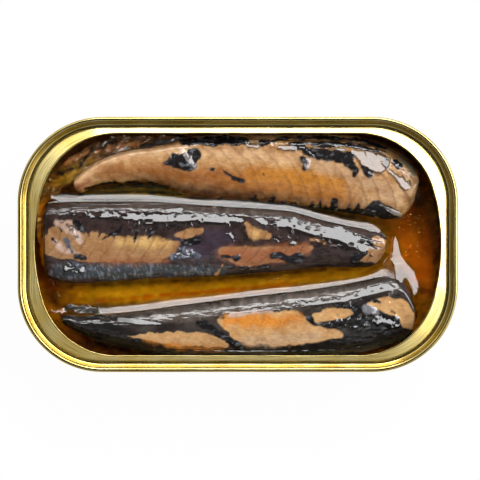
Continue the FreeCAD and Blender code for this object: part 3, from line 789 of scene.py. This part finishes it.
def layeredColour(tree, base, layers, blotch):
    colour = addNode(tree, "ValToRGB", {"Fac": blotch}, ramp=[(0.35, base[0]), (0.65, base[1])])
    for label, hexColour, *_ in layers:
        mask = addNode(tree, "Attribute", attribute_name=label).outputs["Fac"]
        colour = addNode(tree, "MixRGB", {"Fac": mask, "Color1": colour, "Color2": toLinear(hexColour)})
    return colour


def filletMaterial(name, shape):
    # Canned mackerel, cooked and wet with oil: soft flaking flesh under thin dark skin. The
    # subsurface softens the flesh, and a clear oily coat gives the small hard highlights.
    material, tree = newMaterial(name)
    blotch = addNode(tree, "TexNoise", {"Vector": inMillimetres(tree), "Scale": 1 / 3.0, "Detail": 6.0,
                                        "Roughness": 0.62})
    fibre = inMillimetres(tree, stretch=(0.4, 1, 1), turn=12)
    fleck = addNode(tree, "TexNoise", {"Vector": fibre, "Scale": 1 / 0.5, "Detail": 3.0, "Roughness": 0.7})
    colour = layeredColour(tree, shape["base"], shape["layers"], blotch)
    for label, tint, blend in flesh["tints"]:
        mask = addNode(tree, "Attribute", attribute_name=label).outputs["Fac"]
        colour = addNode(tree, "MixRGB", {"Fac": mask, "Color1": colour, "Color2": toLinear(tint)},
                         blend_type=blend)
    for noise, share, ramp in ((fleck, 0.8, [(0.3, "#d0cbc6"), (0.7, "#ffffff")]),
                               (blotch, 0.6, [(0.36, "#c9b096"), (0.5, "#f8efe6"), (0.62, "#ffffff")])):
        shade = addNode(tree, "ValToRGB", {"Fac": noise}, ramp=ramp)
        colour = addNode(tree, "MixRGB", {"Fac": share, "Color1": colour, "Color2": shade},
                         blend_type="MULTIPLY")
    bump = addNode(tree, "Bump", {"Height": fleck, "Strength": 0.5, "Distance": 0.12 * mm})
    shader = addNode(tree, "BsdfPrincipled", {
        "Base Color": colour, "Roughness": 0.6, "IOR": 1.42, "Specular IOR Level": 0.08,
        "Subsurface Weight": 0.1, "Subsurface Scale": 0.001, "Coat Weight": 1.0,
        "Coat Roughness": 0.035, "Coat IOR": 1.5, "Normal": bump})
    addNode(tree, "OutputMaterial", {"Surface": shader})
    return material


def filletSurface(shape):
    # rings of points along the fillet, its middle, and the line where the oil meets it
    stations = shape["stations"]
    tail, head = stations[0][0], stations[-1][0]
    t = np.linspace(0, 1, flesh["rowCount"])
    t = 0.6 * t + 0.4 * (1 - np.cos(np.pi * t)) / 2      # rings stand closer at the ends
    x = tail + (head - tail) * t
    front, back, crest, top = smoothCurve(stations, x)

    def rounded(reach, power):
        nearTail = np.clip((x - tail) / shape["roundTail"] / reach, 0, 1)
        nearHead = np.clip((head - x) / shape["roundHead"] / reach, 0, 1)
        return np.minimum((1 - (1 - nearTail) ** power) ** (1 / power),
                          (1 - (1 - nearHead) ** power) ** (1 / power))

    width = flesh["tipWidth"] + (1 - flesh["tipWidth"]) * rounded(1.0, 2.2)
    fall = (1 - rounded(0.45, 2.0)) * flesh["endDrop"]
    middle = (front + back) / 2
    front = middle + (front - flesh["spread"] - middle) * width
    back = middle + (back + flesh["spread"] - middle) * width
    crest = middle + (crest - middle) * width
    top = np.minimum(top, fishTop - flesh["headroom"])
    widest = top - shape["shoulder"]
    angles = np.concatenate([np.linspace(0, math.pi, flesh["topCount"]),
                             np.linspace(math.pi, 2 * math.pi, flesh["underCount"] + 2)[1:-1]])
    cosine, sine = np.cos(angles), np.sin(angles)
    above = sine >= -1e-9
    power = np.where(above, 2 / flesh["crownPower"], 2 / flesh["bellyPower"])
    across = np.sign(cosine) * np.abs(cosine) ** power
    up = np.sign(sine) * np.abs(sine) ** power
    centre = np.where(above[None, :], crest[:, None], middle[:, None])
    y = centre + across * np.where(across > 0, back[:, None] - centre, centre - front[:, None])
    height = np.where(above, (top - widest)[:, None], (widest - floorTop)[:, None])
    z = (widest - fall * 0.6)[:, None] + up * height - (fall * 0.4)[:, None] * np.maximum(up, 0)
    x = np.repeat(x[:, None], len(angles), axis=1)
    contact = np.concatenate([np.stack([x[:, 0], front], 1), np.stack([x[:, 0], back], 1)[::-1]])
    return np.stack([x, y, np.maximum(z, floorTop)], axis=-1), sine, middle, contact


def filletLooks(shape, x, y, middle):
    # masks of skin, flesh and stains, with uneven edges, and the relief that goes with them
    seed = shape["seed"]
    wander = roughNoise(x, y, 2.2, seed)
    across = y - middle[:, None]
    bend = shape["slant"] * across + 0.05 * across ** 2
    flake = ((x + bend + 0.7 * wander) / shape["pitch"]) % 1
    # the upper edge of the flesh steps back at each flake, towards the tail
    notch = shape["notch"] * (smoothStep(0.6, 0.95, flake) - smoothStep(0.96, 1.0, flake))
    notchX, notchY = flesh["notchPlace"]
    notch *= smoothStep(*notchY, y)
    notch *= smoothStep(*notchX, x)
    masks = layerMasks(x, y, shape["layers"], seed, notch)
    relief = np.zeros(x.shape)
    bare = np.full(x.shape, shape["bare"])
    for label, _, _, _, lift, _ in shape["layers"]:
        relief += lift * masks[label]
        if label == "meat":
            bare = np.maximum(bare, masks[label])
        if label == "skin":
            bare = bare * (1 - masks[label])
    # flakes of flesh: slanting seams at an even pitch. The tint darkens gradually across each flake towards
    # its seam, which is painted shade on the bulging flake, and the seam itself shows as a dark joint
    seam = np.maximum(0.4 * flake ** 2, 0.85 * smoothStep(0.62, 0.94, flake)) * smoothStep(1.0, 0.95, flake)
    seam *= bare
    seam *= smoothStep(-0.8, -0.1, roughNoise(x, y, 8.0, seed + 95, 2))
    seam *= smoothStep(-30, 0, x + shape["seamFrom"])
    relief -= shape["seamDepth"] * seam
    masks["seam"] = seam * shape["seamShare"]
    # pale specks on the skin and on the blue-grey and folded strips: partly the skin's own silvery flecks,
    # partly painted glints where the lamps would sparkle
    silver = masks.get("blue", 0) + masks.get("flap", 0)
    skinGlintSpecks = smoothStep(0.15, 0.6, roughNoise(0.8 * x, 1.8 * y, 0.9, seed + 98)) * 0.35
    sparkle = smoothStep(0.12, 0.4, roughNoise(1.6 * x + 0.6 * y, 0.6 * y, 0.6, seed + 97))
    masks["glint"] = masks["skin"] * skinGlintSpecks + silver * sparkle * 0.5
    # bars across the strip of skin along the back
    stripe = masks.get("greyish", masks.get("brownish", 0)) * (1 - bare)
    stripe *= smoothStep(0.1, 0.6, np.sin(x * 2.1 + 1.6 * wander))
    stripe *= shape["stripes"]
    stripe *= smoothStep(0.0, 0.5, roughNoise(x, y, 5.0, seed + 90, 2) + 0.2)
    masks["stripe"] = stripe
    # soft unevenness, then lumps of loose skin
    (swell, swellSize), (ripple, rippleSize) = flesh["swell"], flesh["ripple"]
    relief += (swell * roughNoise(x, y * 1.6, swellSize, seed + 40, 3)
               + ripple * roughNoise(x, y, rippleSize, seed + 60, 3))
    fold, foldSize = flesh["skinFold"]
    relief += (1 - bare) * fold * roughNoise(x * 0.5, y * 1.8, foldSize, seed + 80)
    for lumpX, lumpY, size, height in shape["lumps"]:
        near = np.exp(-((x - lumpX) ** 2 + (y - lumpY) ** 2) / size ** 2)
        relief += height * near * (1 + 0.8 * roughNoise(x, y, 1.0, seed + 70, 3))
    return masks, relief


def makeFillet(name, shape):
    points, sine, middle, contact = filletSurface(shape)
    masks, relief = filletLooks(shape, points[..., 0], points[..., 1], middle)
    alongRing = np.roll(points, -1, axis=1) - np.roll(points, 1, axis=1)
    normal = np.cross(alongRing, np.gradient(points, axis=0))
    normal /= np.linalg.norm(normal, axis=2)[..., None] + 1e-9
    points = points + normal * (relief * smoothStep(0.0, 0.25, sine))[..., None]
    plain = points[..., 2].copy()
    masks["film"] = np.zeros(plain.shape)
    for k, (azimuth, steepness, ragged, holes, paths) in enumerate(shape["films"]):
        turn = math.radians(azimuth)
        slope = (steepness * math.cos(turn), steepness * math.sin(turn))
        film = drapeFilm(points, paths, slope, ragged, holes, shape["seed"] + 300 + k)
        masks["film"] = np.maximum(masks["film"], film)
    # films lie on the upper side only, and nothing stands above or below the solid fillet
    points[..., 2] = np.clip(np.where(sine > 0.02, points[..., 2], plain), floorTop, fishTop)
    rows, columns = plain.shape
    faces = [face[::-1] for face in gridFaces(rows, columns, closedColumns=True)]
    faces += [list(range(columns)), [rows * columns - 1 - j for j in range(columns)]]
    material = filletMaterial("oily mackerel " + name.replace("Fillet", ""), shape)
    piece = meshPiece(name, points.reshape(-1, 3), faces, material, masks)
    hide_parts(shape["node"])
    return contact, middle, shape


fillets = {"backFillet": backFillet, "middleFillet": middleFillet, "frontFillet": frontFillet}
contactLines = [makeFillet(name, shape) for name, shape in fillets.items()]
print("fillets made")


# Loose skin and settled bits. Each sheet covers its paths; heights are x, y, z; wrinkles are
# height, size, stretch and turn in degrees; layers are as on the fillets.
settled = {
    "step": 0.5,
    "paths": [[(-30, 0, 60), (30, 0, 60)]],
    "ragged": 0,
    "heights": [
        (-46, 0, 2.2), (-30, -12, 5.6), (-10, -11, 4.8), (10, -10, 4.6), (26, -8, 4.6), (42, 0, 4.6),
        (44, 8, 4.2), (44, -8, 4.2), (49, 0, 1.6), (-40, 18, 3), (0, 18, 2), (-36, -22, 2), (0, -26, 2),
        (44, -14, 2)],
    "wrinkles": [(0.9, 5, 3, 0), (0.4, 1.6, 2, 4)],
    "thickness": 1.2,
    "base": ("#7e6a3c", "#b59b62"),
    "layers": [
        ("gap", "#f2de86", 3, 1.6, 0, [
            [(-38, -11.6, 2), (-22, -11.6, 2.6), (-4, -10.4, 2.2), (14, -9, 2), (28, -7.6, 1.8)]]),
        ("rust", "#f0a050", 3, 2, 0, [[(40, 8, 3), (43, 0, 4), (45, -8, 3)]]),
        ("brown", "#7a5028", 2.4, 1.6, 0, [[(-47, 10, 2), (-48, 0, 2.4), (-46, -10, 2.4)]]),
        # painted shade: darker beside the right wall and in the lower left corner
        ("deep", "#33200f", 2, 1.2, 0, [
            [(-46, -12, 0.6), (-36, -23, 1.4), (-22, -27, 1)],
            [(48.4, 14, 1), (50, 0, 1.4), (48.4, -14, 1)]]),
        # painted shade: dark olive on the bottom just in front of the back fillet's lower edge
        ("oliveShade", "#3a3716", 1.4, 1.2, 0, [
            [(-44, 11, 0.6), (-24, 11.6, 1), (-4, 10.6, 0.8), (14, 8.6, 0.9), (30, 5.4, 0.6)]]),
        ("amber", "#d0842c", 0.9, 0.8, 0, [
            [(-34, -14, 0.2), (-16, -12.6, 0.5), (0, -11.6, 0.5), (14, -10.2, 0.3)]]),
        ("moss", "#55511f", 1.6, 1, 0, [
            [(-40, -9, 0.4), (-28, -9, 0.5), (-10, -8, 0.4), (20, -6, 0.2)],
            [(-38, -15.6, 0.8), (-30, -16, 0.6), (-20, -15.4, 0.2)]]),
    ],
    "seed": 71,
    "wet": 0.0,
}
membrane = {
    "step": 0.24,
    "paths": [
        [(-43, -12.4, 0.6), (-45.6, -7, 1), (-47, 0, 1.2), (-46.8, 8, 1.2), (-45.6, 12.6, 2.2),
         (-43, 15.6, 2.6), (-39.5, 18.6, 2.8), (-34, 21.6, 3), (-27, 23.8, 2.6), (-19, 25, 1.8),
         (-13, 25, 1)],
        [(-44.6, -16, 0.5), (-42.4, -16.2, 0.9), (-41, -15, 0.8), (-37.4, -15.6, 1.1), (-32.6, -16.2, 0.7)]],
    "ragged": 1.0,
    "heights": [
        (-45, -8, 12.6), (-47, 0, 12), (-46, 8, 12.6), (-43, -17, 16.4), (-40, -15.4, 15.9),
        (-36, -15.6, 15.7), (-33, -16.4, 15.8), (-44, 14, 13.6), (-40, 17, 14.8), (-40, 21, 15.2),
        (-34, 20.6, 15.2), (-32, 24, 15.7), (-26, 22.6, 15.9), (-24, 25, 16), (-16, 25, 16.6)],
    "wrinkles": [(1, 3.4, 3.4, 27), (0.5, 1.3, 2, 20)],
    "thickness": 0.3,
    "base": ("#3d2712", "#6f4a22"),
    "layers": [
        ("gold", "#94701f", 1, 1, 0, [[(-43.4, 15, 0.6), (-40, 16.8, 1), (-36, 20.6, 0.6)]]),
        ("fold", "#9a6438", 0.4, 0.8, 0, [
            [(-42.6, 19.2, 0.3), (-36, 21.8, 0.5), (-30, 23.4, 0.5), (-24, 24.2, 0.5)]]),
        ("dark", "#1c130b", 0.5, 0.9, 0, [
            [(-43, 17.2, 0.3), (-38, 18.6, 0.3), (-35, 22.8, 0.4), (-29, 24.8, 0.5)],
            [(-27, 22.9, 0.15), (-20, 23.9, 0.3), (-14, 24.6, 0.5)]]),
        ("ashen", "#37332f", 0.5, 0.7, 0, [
            [(-41, -15, 0.8), (-37.4, -15.6, 1.1), (-32.6, -16.2, 0.9)],
            [(-20, 24.6, 0.3), (-13, 25, 0.8)]]),
        ("rust", "#cc8236", 0.8, 1, 0, [[(-45.6, -7, 1.2), (-47, 0, 1.6), (-46.8, 8, 1.4)]]),
        ("crumb", "#94694a", 0.3, 0.6, 0, [
            [(-44.2, -15.8, 0.5), (-42.4, -15.6, 0.6), (-41.6, -16.8, 0.4)]]),
    ],
    "seed": 83,
    "wet": 1.0,
}
# a dark sheet under the tail, its colours painted with the shade there and a few lit streaks
underTail = {
    "step": 0.24,
    "paths": [[(-36.6, 12.4, 0.6), (-30, 12.8, 1.4), (-22, 12.9, 1.6), (-15, 12.2, 1.2), (-8, 11.2, 0.6)]],
    "ragged": 0.5,
    "heights": [(-36, 14.6, 14.6), (-20, 14.8, 14.9), (-36, 11.6, 12.2), (-20, 11.2, 12.4), (-8, 11, 13)],
    "wrinkles": [(0.5, 1.1, 9, 0)],
    "thickness": 0.5,
    "base": ("#1f190b", "#4c3c14"),
    "layers": [
        # painted shade: a black band right under the tail's edge
        ("blackTailShade", "#0f0f0c", 0.3, 0.5, 0, [
            [(-36, 13.9, 0.5), (-30, 14.3, 0.7), (-24, 14.4, 0.7), (-17, 13.9, 0.4)]]),
        ("streaks", "#15160c", 0.25, 0.9, 0, [[(-33, 12, 0.1), (-24, 12.4, 0.3), (-14, 11.6, 0.2)]]),
        # painted light: olive yellow streaks lit further out from under the tail
        ("lit", "#7a6218", 0.4, 0.8, 0, [[(-34, 11.4, 0.1), (-24, 11.6, 0.4), (-12, 10.9, 0.3)]]),
    ],
    "seed": 91,
    "wet": 0.0,
}
wallRoom = 1.1      # the sheets end this far inside the outline of the tin


def insideWall(x, y, layer):
    # distance in from the outline of the tin, when that is drawn in by layer
    pastX = np.abs(x) - (tin["halfLength"] - tin["corner"])
    pastY = np.abs(y) - (tin["halfWidth"] - tin["corner"])
    return tin["corner"] - layer - np.hypot(np.maximum(pastX, 0), np.maximum(pastY, 0))


def sheetHeights(x, y, shape):
    # a smooth surface near the given heights, with folds laid over it
    weights = [1 / ((x - px) ** 2 + (y - py) ** 2 + 1) ** 1.5 for px, py, _ in shape["heights"]]
    z = sum(w * height[2] for w, height in zip(weights, shape["heights"])) / sum(weights)
    for k, (amount, size, stretch, turn) in enumerate(shape["wrinkles"]):
        c, s = math.cos(math.radians(turn)), math.sin(math.radians(turn))
        folds = roughNoise((c * x + s * y) / stretch, c * y - s * x, size, shape["seed"] + 20 + k, 3)
        z += amount * (0.4 - np.abs(folds) * 1.6)
    return np.maximum(z, floorTop + 0.05)


def makeSheet(name, shape):
    # an irregular thin piece of loose skin or settled flesh, closed all round
    spots = np.array([point for path in shape["paths"] for point in path])
    reach = spots[:, 2].max() + 1
    limit = np.array([tin["halfLength"], tin["halfWidth"]]) - wallRoom
    low = np.maximum(spots[:, :2].min(axis=0) - reach, -limit)
    high = np.minimum(spots[:, :2].max(axis=0) + reach, limit)
    x, y = np.meshgrid(*(np.arange(*ends, shape["step"]) for ends in zip(low, high)), indexing="ij")
    gap = pathDistance(x, y, shape["paths"]) + shape["ragged"] * roughNoise(x, y, 2.0, shape["seed"] + 5)
    gap = np.maximum(gap, 0.1 - insideWall(x, y, wallRoom))
    z = sheetHeights(x, y, shape)
    masks = layerMasks(x, y, shape["layers"], shape["seed"])
    thickness = shape["thickness"] * smoothStep(0.0, -0.6, gap) + 0.04
    kept = gap < 0
    keptQuads = kept[:-1, :-1] & kept[1:, :-1] & kept[:-1, 1:] & kept[1:, 1:]
    index = np.arange(x.size).reshape(x.shape)
    quads = np.stack([index[:-1, :-1], index[1:, :-1], index[1:, 1:], index[:-1, 1:]], -1)[keptQuads]
    # the underside, then a wall down every edge that only one face has
    faces = quads.tolist() + (quads[:, ::-1] + x.size).tolist()
    edges = np.concatenate([quads[:, [k, (k + 1) % 4]] for k in range(4)])
    known = {(a, b) for a, b in edges.tolist()}
    faces += [[b, a, a + x.size, b + x.size] for a, b in known if (b, a) not in known]
    under = np.maximum(z - thickness, floorTop - 0.05)
    points = np.concatenate([np.stack([x, y, level], -1).reshape(-1, 3) for level in (z, under)])
    used = np.zeros(len(points), bool)
    used[np.concatenate([quads.ravel(), quads.ravel() + x.size])] = True
    fresh = np.cumsum(used) - 1
    faces = [[int(fresh[v]) for v in face] for face in faces]
    attributes = {label: np.tile(mask.ravel(), 2)[used] for label, mask in masks.items()}
    piece = meshPiece(name, points[used], faces, sheetMaterial(name, shape), attributes)


def sheetMaterial(name, shape):
    # Thin cooked skin and settled flesh: soft, dull and a little see-through, glossy where it is wet
    material, tree = newMaterial("loose fish skin " + name)
    place = inMillimetres(tree, stretch=(0.5, 1, 1))
    blotch = addNode(tree, "TexNoise", {"Vector": place, "Scale": 1 / 1.6, "Detail": 6.0, "Roughness": 0.65})
    colour = layeredColour(tree, shape["base"], shape["layers"], blotch)
    bump = addNode(tree, "Bump", {"Height": blotch, "Strength": 0.6, "Distance": 0.3 * mm})
    shader = addNode(tree, "BsdfPrincipled", {
        "Base Color": colour, "Roughness": 0.6, "IOR": 1.42, "Specular IOR Level": 0.1,
        "Subsurface Weight": 0.15, "Subsurface Scale": 0.001, "Coat Weight": shape["wet"],
        "Coat Roughness": 0.05, "Coat IOR": 1.5, "Normal": bump})
    addNode(tree, "OutputMaterial", {"Surface": shader})
    return material


for name, shape in (("settled", settled), ("membrane", membrane), ("underTail", underTail)):
    makeSheet(name, shape)
print("loose skin and settled bits made")

crumbs = {
    "size": (0.08, 0.19),
    # middle, reach and number in each place
    "places": [(42.4, 2, 2.6, 6, 44), (10, -8.4, 5, 0.6, 10), (38, 5, 1.4, 1.4, 6)],
    "depth": (0.25, 1.6),        # below the surface of the oil
    "seed": 7,
}


def makeCrumbs():
    # specks of cooked flesh afloat in the oil, each an uneven eight-sided grain
    chance = np.random.default_rng(crumbs["seed"])
    points, faces = [], []
    for middleX, middleY, spreadX, spreadY, count in crumbs["places"]:
        for _ in range(count):
            x = middleX + spreadX * chance.uniform(-1, 1)
            y = middleY + spreadY * chance.uniform(-1, 1)
            z = oilLevel - chance.uniform(*crumbs["depth"])
            size = chance.uniform(*crumbs["size"]) * chance.uniform(0.7, 1.3, 6)
            first = len(points)
            for axis in range(3):
                for k, way in enumerate((1, -1)):
                    point = [x, y, z]
                    point[axis] += way * size[2 * axis + k]
                    points.append(point)
            for corner in np.ndindex(2, 2, 2):
                face = [first + 2 * axis + k for axis, k in enumerate(corner)]
                faces.append(face if sum(corner) % 2 == 0 else face[::-1])
    piece = meshPiece("crumbs", np.array(points), faces, crumbMaterial(), wet=False)


def crumbMaterial():
    # Cooked fish steeped in oil: matt specks, which the oil round them turns amber
    material, tree = newMaterial("crumb of cooked fish")
    blotch = addNode(tree, "TexNoise", {"Vector": inMillimetres(tree), "Scale": 1 / 2.0})
    tone = addNode(tree, "ValToRGB", {"Fac": blotch}, ramp=[(0.4, "#f3a23c"), (0.6, "#ffd98a")])
    shader = addNode(tree, "BsdfPrincipled", {"Base Color": tone, "Roughness": 0.7})
    addNode(tree, "OutputMaterial", {"Surface": shader})
    return material


makeCrumbs()
print("crumbs made")

oil = {
    "rowCount": 230,
    "columnCount": 340,
    "creep": 1.88,               # millimetres over which the raised edge of the oil dies away
    "wallClimb": 0.9,
    "climbUneven": 0.12,         # how much the climb varies round a fillet, in humps of "climbSize"
    "climbSize": 9.0,
    # the oil heaps up between the heads of the two front fillets: it slopes evenly up from "foot",
    # drops steeply at "drop" and gently again at "lee"; "under" closes the outline below the fillet
    "foot": [(37.5, 3), (38.5, 0.6), (39.2, -2.6), (40.6, -4.4), (42.4, -6.4), (43.6, -9.1), (44.1, -12),
        (43.9, -15), (43.4, -17.6)],
    "under": [(41, -19), (36, -14), (28, -11)],
    "lee": [(26.5, -8.9), (31.4, -7.2), (34.3, -5.2)],
    "drop": [(34.3, -5.2), (36.2, -3.2), (36.9, -0.6), (37.2, 2)],
    "swellSlope": 0.41,
    "dropSlope": 2.6,
    "swellRound": 0.08,          # how softly the slopes meet, in millimetres
    "swellEase": 0.34,           # how much gentler that slope is beside the head of the front fillet
    "easePlace": ((39.0, 42.5), (-5.0, -8.5)),       # where that comes in, along x and y
    "heapBlend": 5,              # more is a sharper foot where the heap rises from the rest
    "short": 0.02,               # kept below the level of the solid
    "skirtTop": 12.0,            # the first ring down the wall, below the climb of the oil
}


def oilMaterial():
    # Amber cooking oil: clear, with IOR 1.47, so deep places go orange-brown and shallow ones gold.
    # It lets the lamps' light straight through, so that the fish in it isn't left dark.
    material, tree = newMaterial("amber oil")
    swell = addNode(tree, "TexNoise", {"Vector": inMillimetres(tree), "Scale": 1 / 9.0, "Detail": 2.0})
    bump = addNode(tree, "Bump", {"Height": swell, "Strength": 0.25, "Distance": 0.25 * mm})
    surface = addNode(tree, "BsdfPrincipled", {
        "Base Color": (1, 1, 1, 1), "Roughness": 0.015, "IOR": 1.47, "Transmission Weight": 1.0,
        "Normal": bump})
    clear = addNode(tree, "BsdfTransparent", {"Color": (1, 1, 1, 1)})
    shadow = addNode(tree, "LightPath").outputs["Is Shadow Ray"]
    mixed = addNode(tree, "MixShader", {0: shadow, 1: surface, 2: clear})
    absorb = addNode(tree, "VolumeAbsorption", {"Color": toLinear("#faeb3f"), "Density": 200.0})
    addNode(tree, "OutputMaterial", {"Surface": mixed, "Volume": absorb})
    return material


def outlineDistance(x, y, outline):
    # distance outside a closed outline, negative inside it
    closed = [(*point, 0) for point in (*outline, outline[0])]
    inside = np.zeros(x.shape, bool)
    for (ax, ay, _), (bx, by, _) in zip(closed, closed[1:]):
        crosses = (ay > y) != (by > y)
        inside ^= crosses & (x < ax + (y - ay) / ((by - ay) or 1e-12) * (bx - ax))
    return np.where(inside, -1, 1) * pathDistance(x, y, [closed])


def oilHeap(x, y):
    # the heap between the two front heads, as high above each place as its slopes allow
    outline = oil["foot"] + oil["under"] + oil["lee"] + oil["drop"][1:]
    inside = outlineDistance(x, y, outline) < 0
    low = np.zeros(x.shape)
    for side, slope in (("foot", oil["swellSlope"]), ("lee", oil["swellSlope"]), ("drop", oil["dropSlope"])):
        away = pathDistance(x, y, [[(*point, 0) for point in oil[side]]])
        low += np.exp(-slope * away / oil["swellRound"])
    heap = np.where(inside, np.maximum(-oil["swellRound"] * np.log(low + 1e-30), 0), 0)
    easeX, easeY = oil["easePlace"]
    return heap * (1 - oil["swellEase"] * smoothStep(*easeY, y) * smoothStep(*easeX, x))


def oilLift(x, y):
    # how far the oil stands above its level: it climbs where it wets the fish and the wall
    lift = np.zeros(x.shape)
    for number, (line, middle, shape) in enumerate(contactLines):
        gap = outlineDistance(x, y, line[::5])
        climbFront, climbBack, climbTail, climbHead = shape["climb"]
        tailX, headX = line[0, 0], line[len(line) // 2, 0]
        centre = np.interp(x, line[:len(line) // 2, 0], middle)
        climb = climbFront + (climbBack - climbFront) * smoothStep(-1.5, 1.5, y - centre)
        climb += (climbHead - climb) * smoothStep(*shape["headFade"], x - headX)
        climb += (climbTail - climb) * smoothStep(*shape["tailFade"][::-1], x - tailX)
        climb *= 1 + oil["climbUneven"] * softNoise(x, y, oil["climbSize"], 200 + number)
        lift += climb * np.exp(-np.maximum(gap, 0) / oil["creep"])
    lift += oil["wallClimb"] * np.exp(-np.maximum(insideWall(x, y, bodyLayer), 0) / oil["creep"])
    heap = oilHeap(x, y)
    # the higher of the two, blended smoothly, and nothing where both are nothing
    blend = oil["heapBlend"]
    spare = math.log(2) / blend * np.exp(-4 * np.maximum(lift, heap))
    return np.logaddexp(blend * lift, blend * heap) / blend - spare


def makeOil():
    halfLength, halfWidth = tin["halfLength"] - bodyLayer, tin["halfWidth"] - bodyLayer
    corner = tin["corner"] - bodyLayer
    s = np.linspace(-1, 1, oil["rowCount"])
    rowY = halfWidth * (0.55 * s + 0.45 * np.sin(s * math.pi / 2))      # closer rows at the long walls
    rowY[0], rowY[-1] = -halfWidth, halfWidth
    intoCorner = np.clip(np.abs(rowY) - (halfWidth - corner), 0, corner)
    rowHalf = halfLength - corner + np.sqrt(corner ** 2 - intoCorner ** 2)
    x = np.linspace(-1, 1, oil["columnCount"])[None, :] * rowHalf[:, None]
    y = np.repeat(rowY[:, None], oil["columnCount"], axis=1)
    top = np.stack([x, y, oilLevel + oilLift(x, y) - oil["short"]], axis=-1).reshape(-1, 3)
    # the rim of the surface, once round, then rings down the middle of the metal
    index = np.arange(x.size).reshape(x.shape)
    rim = np.concatenate([index[0], index[1:, -1], index[-1, -2::-1], index[-2:0:-1, 0]])
    rimX, rimY = top[rim, 0], top[rim, 1]
    outX = np.sign(rimX) * np.maximum(np.abs(rimX) - (halfLength - corner), 0)
    outY = np.sign(rimY) * np.maximum(np.abs(rimY) - (halfWidth - corner), 0)
    length = np.hypot(outX, outY)
    outX, outY = outX / length, outY / length
    base, radius = sheet / 2, tin["baseRadius"]
    stepStart = radius + tin["standWidth"]
    profile = [(0, oil["skirtTop"]), (0, base + radius)]
    profile += [(radius - radius * math.cos(a), base + radius - radius * math.sin(a))
                for a in np.radians([15, 30, 45, 60, 75, 90])]
    profile += [(stepStart, base), (stepStart + tin["panelSlope"], base + tin["panelRise"])]
    rings = [np.stack([rimX - outX * inset, rimY - outY * inset, np.full(len(rim), level)], axis=-1)
             for inset, level in profile]
    faces = gridFaces(*x.shape)
    above = rim
    for k in range(len(profile)):
        below = x.size + k * len(rim) + np.arange(len(rim))
        faces += np.stack([above, below, np.roll(below, -1), np.roll(above, -1)], axis=-1).tolist()
        above = below
    faces.append(above[::-1].tolist())
    piece = meshPiece("clearOil", np.concatenate([top, *rings]), [face[::-1] for face in faces],
                      oilMaterial())
    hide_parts("oil")


makeOil()
print("oil made")
